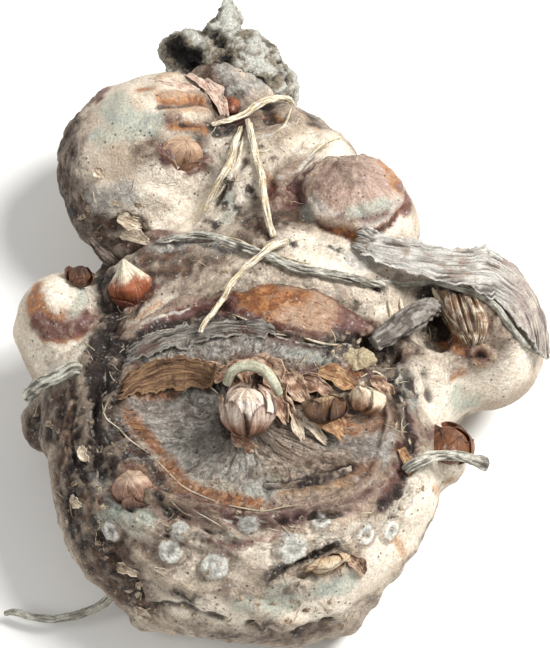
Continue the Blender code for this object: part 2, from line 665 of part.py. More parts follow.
def make_sheet(name, edges, across, steps, group, trees, ripple, ragged):
    """A dry sheet between two edges, lying over what is under it, fluted, then given thickness."""
    back = finer(edges[0], steps)
    front = finer(edges[1], steps)
    share = np.linspace(0, 1, across)
    grid = back[:, None] * (1 - share[None, :, None]) + front[:, None] * share[None, :, None]
    flutes = ripple * np.where(np.arange(across) % 2, 1, -1)
    edge = ragged * noise(np.stack([np.arange(steps) * 1.0, np.zeros(steps), np.zeros(steps)], 1), 1.3, 31)
    grid[:, 0, 1] += edge
    grid[:, -1, 1] -= edge[::-1]
    wanted = grid[..., 2] + flutes
    floor = np.array([[least_height(x, y, 1.0, trees) for x, y, _ in row] for row in grid]) + SKIN_GAP + 0.1
    height = np.maximum(wanted, floor)
    points = grid.copy()
    points[..., 2] = height
    for _ in range(10):
        for point in points.reshape(-1, 3):
            short = SKIN_GAP + 0.1 - nearest_gap(point, trees)
            if short > 0:
                point[2] += short + 0.05
    verts = [Vector(point) * MM for point in points.reshape(-1, 3)]
    shape = bmesh.new()
    placed = [shape.verts.new(vert) for vert in verts]
    for row in range(steps - 1):
        for column in range(across - 1):
            first = row * across + column
            corners = (first, first + across, first + across + 1, first + 1)
            shape.faces.new([placed[corner] for corner in corners])
    shape.normal_update()
    up = sum(face.normal.z for face in shape.faces)
    sheet = object_from_bmesh(name, shape, group)
    step = sheet.modifiers.new("thickness", "SOLIDIFY")
    step.thickness = SHEET_THICKNESS * MM
    step.offset = 1.0 if up > 0 else -1.0
    step.use_even_offset = False
    bake(sheet)
    clean(sheet)
    return sheet


def make_grains(group, cutters):
    """A crumb of pale soil: small grains packed round a core."""
    shape = bmesh.new()
    add_ball(shape, GRAIN_MIDDLE, (3.0, 1.9, 1.5), (0, 0, -15), 2)
    for k in range(GRAIN_COUNT):
        bearing = 2.4 * k
        out = 0.25 + 0.75 * (k / GRAIN_COUNT) ** 0.5
        centre = (GRAIN_MIDDLE[0] + 3.0 * out * cos(bearing), GRAIN_MIDDLE[1] + 1.8 * out * sin(bearing),
                  GRAIN_MIDDLE[2] + 1.3 * (1.2 - out))
        size = 0.75 + 0.25 * sin(5.1 * k)
        add_ball(shape, centre, (size, size, size), (0, 0, 0), 2)
    grains = object_from_bmesh("soil_grains", shape, group)
    remesh(grains, 0.4)
    thin_out(grains, 450)
    for cutter in cutters:
        subtract(grains, cutter)
    clean(grains)
    return grains


def make_cut_tube(name, listed, group, cutters):
    """A root or stem growing out of the flesh: a smooth cord, cut clear of what it grows from."""
    count = 3 * len(listed[0]) - 2
    tube = make_tube(name, finer(listed[0], count), finer(listed[1], count), group)
    for cutter in cutters:
        subtract(tube, cutter)
    clean(tube)
    return tube


def make_parts():
    """All the pieces, each one placed clear of the ones before it."""
    clear_scene()
    group = new_collection("calla_lily_tuber")
    spare = new_collection("cutters")
    body = make_tuber(group, spare)
    trees = [tree_of(body)]
    body_cutter = swollen(body, SKIN_GAP, spare)
    parts = [body]
    cutters = [body_cutter]

    def keep(part):
        parts.append(part)
        trees.append(tree_of(part))
        return part

    keep(make_crust(group, body_cutter))
    bud = keep(make_bud("crown_bud", group, cutters))
    bud_cutter = swollen(bud, SKIN_GAP, spare)
    for name in BUDS:
        if name != "crown_bud":
            keep(make_bud(name, group, cutters + [bud_cutter]))
    keep(make_cut_tube("crown_shoot", CROWN_SHOOT, group, cutters + [bud_cutter]))
    stump = keep(make_cut_tube("sheath_stump", SHEATH_STUMP, group, cutters))
    stump_cutter = swollen(stump, SKIN_GAP, spare)
    keep(make_grains(group, cutters + [stump_cutter]))
    keep(make_cut_tube("hooked_root", HOOKED_ROOT, group, cutters))
    keep(make_cut_tube("throat_spike", THROAT_SPIKE, group, cutters))
    keep(make_lying_root("sheath_cord", *SHEATH_CORD, group, trees))
    keep(make_sheet("crown_scale", CROWN_SCALE, 5, 13, group, trees, 0.12, 0.5))
    keep(make_sheet("crown_membrane", CROWN_MEMBRANE, 5, 17, group, trees, 0.2, 0.5))
    keep(make_sheet("leaf_sheath", SHEATH_BACK, 7, 28, group, trees, 0.18, 0.3))
    for name, (path, radii) in LYING_ROOTS.items():
        keep(make_lying_root(name, path, radii, group, trees))
    keep(make_lying_root("right_root_stub", *RIGHT_ROOT_STUB, group, trees))
    keep(make_lying_root("left_root_stub", *LEFT_ROOT_STUB, group, trees))
    for cutter in (body_cutter, bud_cutter, stump_cutter):
        bpy.data.objects.remove(cutter, do_unlink=True)
    for part in parts:
        part.data.name = part.name
        part.data.materials.clear()
        part.data.materials.append(material_for(part.name))


make_parts()
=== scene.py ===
import bmesh
import bpy
import numpy as np
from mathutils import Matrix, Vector
from mathutils.bvhtree import BVHTree


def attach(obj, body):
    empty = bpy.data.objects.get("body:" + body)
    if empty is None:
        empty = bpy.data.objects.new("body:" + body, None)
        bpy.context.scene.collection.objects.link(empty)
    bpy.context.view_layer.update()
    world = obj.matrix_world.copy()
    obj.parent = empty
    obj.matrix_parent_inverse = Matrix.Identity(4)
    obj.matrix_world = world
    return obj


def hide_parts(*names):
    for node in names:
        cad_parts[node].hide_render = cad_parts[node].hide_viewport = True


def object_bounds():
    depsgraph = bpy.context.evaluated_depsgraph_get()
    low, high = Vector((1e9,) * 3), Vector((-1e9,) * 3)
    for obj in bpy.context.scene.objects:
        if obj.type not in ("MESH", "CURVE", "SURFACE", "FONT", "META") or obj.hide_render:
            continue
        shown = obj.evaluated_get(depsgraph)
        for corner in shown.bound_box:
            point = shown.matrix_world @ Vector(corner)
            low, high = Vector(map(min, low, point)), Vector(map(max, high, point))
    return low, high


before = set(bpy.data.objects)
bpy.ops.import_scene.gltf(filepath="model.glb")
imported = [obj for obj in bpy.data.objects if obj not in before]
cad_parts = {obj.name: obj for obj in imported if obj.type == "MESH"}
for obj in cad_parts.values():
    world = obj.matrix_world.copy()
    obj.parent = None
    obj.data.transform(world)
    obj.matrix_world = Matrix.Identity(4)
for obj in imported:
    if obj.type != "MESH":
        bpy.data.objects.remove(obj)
cadLow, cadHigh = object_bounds()
print("frame loaded")

mm = 0.001

# camera: looks down on the tuber at the photo's angle; lengths in mm
camera = {
    "tilt": 60.0, "aim": (5.645, 22.306, 20.0), "distance": 430.0, "tall": 116.64, "width": 550,
    "height": 648,
    "pixel": 0.18,
}


def cameraAxes():
    # right, up and forward of the camera, from its tilt above the ground
    tilt = np.radians(camera["tilt"])
    right = np.array([1.0, 0.0, 0.0])
    up = np.array([0.0, np.sin(tilt), np.cos(tilt)])
    forward = np.array([0.0, np.cos(tilt), -np.sin(tilt)])
    return right, up, forward


def linked(name, data):
    # a new object in the scene
    made = bpy.data.objects.new(name, data)
    bpy.context.scene.collection.objects.link(made)
    return made


def makeCamera():
    data = bpy.data.cameras.new("camera")
    data.sensor_width = 36.0
    data.lens = 36.0 * camera["distance"] / camera["tall"]
    data.clip_start = 0.01
    data.clip_end = 5.0
    eye = linked("camera", data)
    forward = cameraAxes()[2]
    eye.location = Vector((np.array(camera["aim"]) - forward * camera["distance"]) * mm)
    eye.rotation_euler = (np.radians(90.0 - camera["tilt"]), 0.0, 0.0)
    bpy.context.scene.camera = eye


makeCamera()

# the shape of the flesh, in mm: lobes joined softly, hollows taken out, relief added

# centre, half sizes, turn about x y z in degrees, width of the soft join
lobes = {
    "main": ((0.0, 0.0, 17.0), (33.8, 32.4, 19.0), (0, 0, 0), 1.0),
    "front": ((3.2, -18.6, 11.5), (22.0, 14.6, 11.6), (0, 0, 0), 11.0),
    "front_left": ((-13.0, -21.5, 8.5), (10.5, 8.5, 8.2), (0, 0, 0), 6.0),
    "left_flank": ((-20.0, -12.0, 13.0), (11.6, 13.0, 12.0), (0, 0, 0), 5.0),
    "front_right": ((12.6, -24.6, 8.0), (10.0, 9.0, 8.0), (0, 0, 0), 4.0),
    "right_flank": ((25.2, -5.6, 14.0), (7.2, 10.0, 11.0), (0, 0, 20), 8.0),
    "shoulder": ((8.4, 29.1, 17.0), (25.0, 14.0, 15.0), (0, 0, -6), 10.0),
    "left_shoulder": ((-15.8, 29.7, 16.0), (13.0, 11.0, 13.5), (0, 0, 0), 7.0),
    "left_skirt": ((-27.1, 9.5, 15.0), (8.0, 12.0, 12.0), (0, 0, 10), 7.0),
    "upper": ((3.2, 50.9, 15.2), (15.0, 18.0, 15.7), (0, 0, 0), 7.0),
    "upper_right": ((11.4, 59.3, 15.0), (8.0, 12.0, 12.0), (0, 0, 48), 5.0),
    "far_end": ((-3.5, 74.0, 13.5), (10.0, 8.5, 11.0), (0, 0, 0), 6.0),
    "left_globe": ((-18.0, 58.6, 16.4), (16.2, 18.0, 17.0), (0, 0, -30), 3.5),
    "right_globe": ((19.6, 42.9, 20.5), (12.4, 11.4, 13.5), (0, 0, 0), 2.5),
    "far_right": ((43.6, 21.2, 16.5), (10.8, 12.5, 13.0), (0, 0, 12), 3.0),
    "right_neck": ((31.7, 12.5, 15.0), (8.0, 11.0, 12.0), (0, 0, -25), 6.0),
    "right_shoulder": ((33.4, 26.4, 13.0), (7.0, 8.0, 12.0), (0, 0, 0), 5.0),
    "left_offset": ((-32.8, 20.6, 18.6), (8.0, 8.6, 12.2), (-30, -6, 0), 2.5),
    "left_neck": ((-28.4, 15.2, 15.0), (6.0, 6.0, 8.0), (0, 0, 0), 4.0),
    "right_nub": ((35.3, -3.6, 17.0), (3.9, 4.8, 5.0), (0, 0, 0), 2.0),
    "dark_lump": ((-35.1, 7.8, 9.0), (4.8, 5.0, 5.0), (0, 0, 0), 3.0),
    "crumb": ((-17.3, -28.6, 6.6), (2.2, 2.4, 2.6), (0, 0, 0), 2.0),
}

# hollows, laid out in the same way
hollows = {
    "behind_crown": ((23.1, 11.7, 30.0), (5.5, 3.0, 6.0), (0, 0, -30), 1.5),
    "under_sheath": ((34.0, 18.2, 27.0), (4.4, 5.0, 7.0), (0, 0, 20), 1.5),
    "left_pocket": ((-18.1, -15.0, 33.2), (3.6, 3.6, 4.0), (0, 0, 0), 1.0),
    "front_slit": ((13.2, -27.0, 25.6), (6.6, 1.5, 3.0), (0, 0, 22), 0.8),
    "throat": ((-22.8, 33.8, 24.0), (6.0, 3.0, 8.0), (0, 0, 20), 2.0),
}

# low domes where roots have dropped off: centre, radius, height
domes = [
    ((-11.9, -25.7, 27.1), 2.6, 0.7),
    ((-10.1, -23.0, 29.5), 2.2, 0.6),
    ((-4.4, -28.4, 27.0), 2.9, 0.8),
    ((1.3, -22.6, 31.2), 2.3, 0.6),
    ((-21.6, -21.0, 25.0), 2.2, 0.5),
    ((13.4, -21.6, 29.8), 2.1, 0.6),
    ((8.6, -25.6, 28.7), 3.4, 0.7),
    ((21.0, -22.0, 25.9), 2.3, 0.5),
    ((25.5, -20.0, 22.9), 2.3, 0.5),
    ((19.4, 46.3, 34.0), 3.2, 1.4),
    ((42.4, 12.2, 25.6), 3.0, 0.8),
]

# cords of dry tissue grown onto the skin: points, width, height
ridges = [
    (((17.5, 59.5, 27.0), (12.1, 54.6, 29.5), (7.5, 47.1, 31.0), (5.8, 42.4, 31.0)), 1.3, 1.0),
    (((8.5, 66.0, 25.0), (8.0, 58.0, 29.0), (1.0, 56.0, 31.0)), 1.1, 0.7),
    (((36.0, 9.0, 26.0), (29.5, 10.5, 28.0), (27.5, 2.0, 29.5), (28.5, -6.0, 28.0)), 2.2, 1.0),
]

# the first nine domes are root scars, the others plain bumps
rootScars = domes[:9]

crown = {"centre": (0.9, -4.1), "half": (24.6, 16.8)}
scar = {"centre": (9.6, 16.9), "half": (13.2, 4.9), "turn": -12.0}
cap = {"centre": (20.0, 44.0, 36.0), "radius": 10.5, "knob": (19.4, 46.3, 34.0)}


def turned(angles):
    # turn about x, then y, then z
    a, b, c = np.radians(angles)
    aboutX = np.array([[1, 0, 0], [0, np.cos(a), -np.sin(a)], [0, np.sin(a), np.cos(a)]])
    aboutY = np.array([[np.cos(b), 0, np.sin(b)], [0, 1, 0], [-np.sin(b), 0, np.cos(b)]])
    aboutZ = np.array([[np.cos(c), -np.sin(c), 0], [np.sin(c), np.cos(c), 0], [0, 0, 1]])
    return aboutZ @ aboutY @ aboutX


def ellipsoid(p, centre, half, angles):
    # distance from an ellipsoid, near enough close to its surface
    q = (p - np.array(centre)) @ turned(angles)
    half = np.array(half)
    inner = np.linalg.norm(q / half, axis=-1)
    slope = np.linalg.norm(q / half ** 2, axis=-1)
    return inner * (inner - 1) / np.maximum(slope, 1e-6)


def softMin(a, b, width):
    # the lesser of two values with the corner rounded over that width
    near = np.maximum(width - np.abs(a - b), 0) / width
    return np.minimum(a, b) - near * near * width / 4


def ease(x, start, end):
    # 0 at the start, 1 at the end, smooth between
    t = np.clip((x - start) / (end - start), 0, 1)
    return t * t * (3 - 2 * t)


def bell(x, at, width):
    return np.exp(-((x - at) / width) ** 2)


def cloud(p, size, seed):
    # smooth noise from -1 to 1: random values on a cubic lattice of that size, blended between
    q = p / size
    low = np.floor(q).astype(np.int64)
    part = q - low
    part = part * part * (3 - 2 * part)
    total = np.zeros(p.shape[:-1])
    for corner in range(8):
        side = np.array([corner & 1, corner >> 1 & 1, corner >> 2 & 1])
        cell = low + side
        key = cell[..., 0] * 73856093 ^ cell[..., 1] * 19349663 ^ cell[..., 2] * 83492791
        key = (key ^ seed * 2654435761) & 0xFFFFFFFF
        key = ((key ^ (key >> 15)) * 2246822519) & 0xFFFFFFFF
        key = ((key ^ (key >> 13)) * 3266489917) & 0xFFFFFFFF
        value = ((key >> 8) & 0xFFFF) / 32767.5 - 1
        total += value * np.prod(np.where(side == 1, part, 1 - part), axis=-1)
    return total


def gridOf(x, y, z):
    # points from three coordinates that spread over one grid
    return np.stack(np.broadcast_arrays(x, y, z), -1)


def spreadOver(values, shape):
    # each set of numbers spread over a grid of that shape, then laid out flat
    return {key: np.broadcast_to(value, shape).ravel() for key, value in values.items()}


def cloudAlong(x, z, seed):
    # noise read off along a line
    return cloud(np.column_stack([x, np.zeros(len(x)), np.full(len(x), z)]), 1.0, seed)


def creases(p, size, seed):
    # sharp-edged noise from 0 to 1, highest along thin wandering lines
    return 1 - np.abs(cloud(p, size, seed))


def crownPlace(p):
    # how far out from the crown's middle (1 at its rim), and the bearing
    x = (p[..., 0] + 1.2 * cloud(p, 8.0, 1) - crown["centre"][0]) / crown["half"][0]
    y = (p[..., 1] + 1.2 * cloud(p, 8.0, 2) - crown["centre"][1]) / crown["half"][1]
    return np.hypot(x, y), np.arctan2(y, x)


def crownRelief(p):
    # a dish deepest at the front left, a thin rim, then worn rings
    out, bearing = crownPlace(p)
    frontLeft = 0.5 + 0.5 * np.cos(bearing - np.radians(215))
    back = ease(np.sin(bearing), 0.55, 0.95)
    dish = -(1.7 + 3.2 * frontLeft) * ease(out, 1.0, 0.55) * (1 - 0.8 * ease(out, 0.32, 0.05))
    fold = 1.3 * bell(out, 0.68, 0.06) * (1 - frontLeft) * ease(np.sin(bearing), 0.3, -0.2)
    rim = 0.9 * bell(out, 1.01, 0.045)
    rings = 0.8 * bell(out, 1.27, 0.07) - 0.6 * bell(out, 1.12, 0.06) - 0.6 * bell(out, 1.4, 0.06)
    rings = rings * (1 - back)
    return (dish + fold + rim + rings * (0.7 + 0.5 * cloud(p, 6.0, 3))) * ease(p[..., 2], 21, 28)


def scarPlace(p):
    # how far out from the middle of the oval scar, 1 at its edge
    turn = np.radians(scar["turn"])
    x = p[..., 0] - scar["centre"][0]
    y = p[..., 1] - scar["centre"][1]
    u = (x * np.cos(turn) + y * np.sin(turn)) / scar["half"][0]
    v = (-x * np.sin(turn) + y * np.cos(turn)) / scar["half"][1]
    return np.sqrt(u * u + v * v * (1 + 0.8 * u * u))


def scarRelief(p):
    # lens shaped with a raised lip
    out = scarPlace(p)
    lens = 1.3 * ease(out, 1.04, 0.7) + 0.5 * bell(out, 0.95, 0.1)
    return (lens - 0.7 * bell(out, 1.2, 0.1)) * ease(p[..., 2], 20, 26)


def capRelief(p):
    # the cap on the right globe: a plate with a stepped edge
    out = np.linalg.norm(p - np.array(cap["centre"]), axis=-1) + 0.6 * cloud(p, 4.0, 7)
    edge = cap["radius"]
    return 0.8 * ease(out, edge + 0.6, edge - 0.6) - 0.5 * bell(out, edge + 1.0, 0.7)


def lineDistance(p, points):
    best = np.full(p.shape[:-1], 1e9)
    for a, b in zip(points[:-1], points[1:]):
        a = np.array(a)
        along = np.array(b) - a
        share = np.clip(((p - a) @ along) / (along @ along), 0, 1)
        best = np.minimum(best, np.linalg.norm(p - a - share[..., None] * along, axis=-1))
    return best


def smallRelief(p):
    total = np.zeros(p.shape[:-1])
    for centre, radius, height in domes:
        out = np.linalg.norm(p - np.array(centre), axis=-1) / radius
        total += height * np.clip(1 - out * out, 0, 1) ** 2 * 1.6
    for points, width, height in ridges:
        total += height * bell(lineDistance(p, points), 0, width)
    return total


def skinLumps(p):
    return 0.6 * cloud(p, 7.0, 5) + 0.3 * cloud(p, 3.2, 6)


def fleshField(p):
    # distance from the skin, below 0 inside the flesh
    value = None
    for centre, half, angles, width in lobes.values():
        lobe = ellipsoid(p, centre, half, angles)
        value = lobe if value is None else softMin(value, lobe, width)
    for centre, half, angles, width in hollows.values():
        value = -softMin(-value, ellipsoid(p, centre, half, angles), width)
    relief = crownRelief(p) + scarRelief(p) + capRelief(p) + smallRelief(p) + skinLumps(p)
    return value - relief


# mesh helpers


def pointsOf(mesh):
    flat = np.empty(len(mesh.vertices) * 3)
    mesh.vertices.foreach_get("co", flat)
    return flat.reshape(-1, 3) / mm


def normalsOf(mesh):
    flat = np.empty(len(mesh.vertices) * 3)
    mesh.vertices.foreach_get("normal", flat)
    return flat.reshape(-1, 3)


def setPoints(mesh, points):
    mesh.vertices.foreach_set("co", (points * mm).ravel())
    mesh.update()


def treeOf(node):
    # search tree of a CAD node's faces, in mm
    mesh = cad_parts[node].data
    faces = [tuple(face.vertices) for face in mesh.polygons]
    return BVHTree.FromPolygons([Vector(point) for point in pointsOf(mesh)], faces)


def addValues(mesh, values):
    # one number for each point under each name, for the materials to read
    for name, numbers in values.items():
        store = mesh.attributes.new(name, "FLOAT", "POINT")
        store.data.foreach_set("value", np.asarray(numbers, np.float32))


def smoothLine(values, count):
    # values along a line drawn through by a smooth curve and read off at that many even steps
    values = np.array(values, float)
    padded = np.concatenate([2 * values[:1] - values[1:2], values, 2 * values[-1:] - values[-2:-1]])
    place = np.linspace(0, len(values) - 1, count)
    at = np.minimum(place.astype(int), len(values) - 2)
    t = (place - at).reshape(-1, *[1] * (values.ndim - 1))
    a, b, c, d = padded[at], padded[at + 1], padded[at + 2], padded[at + 3]
    curved = (2 * a - 5 * b + 4 * c - d) * t * t + (3 * b - a - 3 * c + d) * t ** 3
    return 0.5 * (2 * b + (c - a) * t + curved)


def gridFaces(rows, columns, closeColumns=False):
    # four-sided faces between neighbours on a grid of points
    r = np.arange(rows - 1)[:, None]
    c = np.arange(columns if closeColumns else columns - 1)[None, :]
    nextC = (c + 1) % columns
    corners = [r * columns + c, (r + 1) * columns + c, (r + 1) * columns + nextC, r * columns + nextC]
    return np.stack([np.broadcast_to(corner, (r.size, c.size)) for corner in corners], -1).reshape(-1, 4)


def newPiece(name, points, faces, material, nodes=(), values=None, merge=False):
    # a mesh object from points in mm and faces, riding on the root body; poles are merged when asked
    mesh = bpy.data.meshes.new(name)
    mesh.from_pydata((np.asarray(points) * mm).tolist(), [], [list(face) for face in faces])
    mesh.update()
    if values:
        addValues(mesh, values)
    if merge:
        shape = bmesh.new()
        shape.from_mesh(mesh)
        bmesh.ops.remove_doubles(shape, verts=shape.verts, dist=1e-6)
        bmesh.ops.recalc_face_normals(shape, faces=shape.faces)
        shape.to_mesh(mesh)
        shape.free()
    mesh.polygons.foreach_set("use_smooth", np.ones(len(mesh.polygons), bool))
    mesh.materials.append(material)
    made = linked(name, mesh)
    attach(made, "root")
    if nodes:
        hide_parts(*nodes)
    return made


def fromUpright(direction):
    # the least turn that brings the upright into that direction
    return np.array(Vector((0, 0, 1)).rotation_difference(Vector(direction)).to_matrix())


def thicken(made, thick, offset):
    step = made.modifiers.new("thickness", "SOLIDIFY")
    step.thickness = thick * mm
    step.offset = offset


def makeSheets(name, grids, rows, columns, material, slot, thick):
    # many small sheets of the same size of grid as one piece
    points = np.concatenate([grid[0] for grid in grids])
    faces = gridFaces(rows, columns)
    faces = np.concatenate([faces + k * rows * columns for k in range(len(grids))])
    values = {key: np.concatenate([grid[1][key] for grid in grids]) for key in grids[0][1]}
    made = newPiece(name, points, faces, material, (), values)
    thicken(made, thick, 0.0)


bodyTree = treeOf("tuber_body")


def sightOf(px, py):
    # where the camera is, and the direction in which it sees that place of the photo
    right, up, forward = cameraAxes()
    eye = np.array(camera["aim"]) - forward * camera["distance"]
    scale = camera["tall"] / camera["height"]
    sight = forward * camera["distance"] + right * (px - camera["width"] / 2) * scale
    sight = sight + up * (camera["height"] / 2 - py) * scale
    return eye, sight / np.linalg.norm(sight)


def skinSpot(px, py, tree=bodyTree):
    # where the line of sight meets the flesh, or another piece
    eye, sight = sightOf(px, py)
    hit = tree.ray_cast(Vector(eye), Vector(sight))
    if hit[0] is None:
        middle = eye + sight * ((18.0 - eye[2]) / sight[2])
        hit = tree.find_nearest(Vector(middle))
    return np.array(hit[0])

# painted marks: where each finish lies on the flesh
# each stroke is a width in mm and the places of the photo that it passes through


def strokeField(p, strokes):
    # how far inside the nearest stroke, in mm: its half width less the distance from its line
    best = np.full(len(p), -9.0)
    for width, places in strokes:
        spots = np.array([skinSpot(px, py) for px, py in places])
        if len(spots) == 1:
            spots = np.vstack([spots, spots + (0.01, 0.0, 0.0)])
        reach = width / 2 + 5.0
        near = np.all((p > spots.min(axis=0) - reach) & (p < spots.max(axis=0) + reach), axis=1)
        inside = width / 2 - lineDistance(p[near], spots)
        best[near] = np.maximum(best[near], inside)
    return best


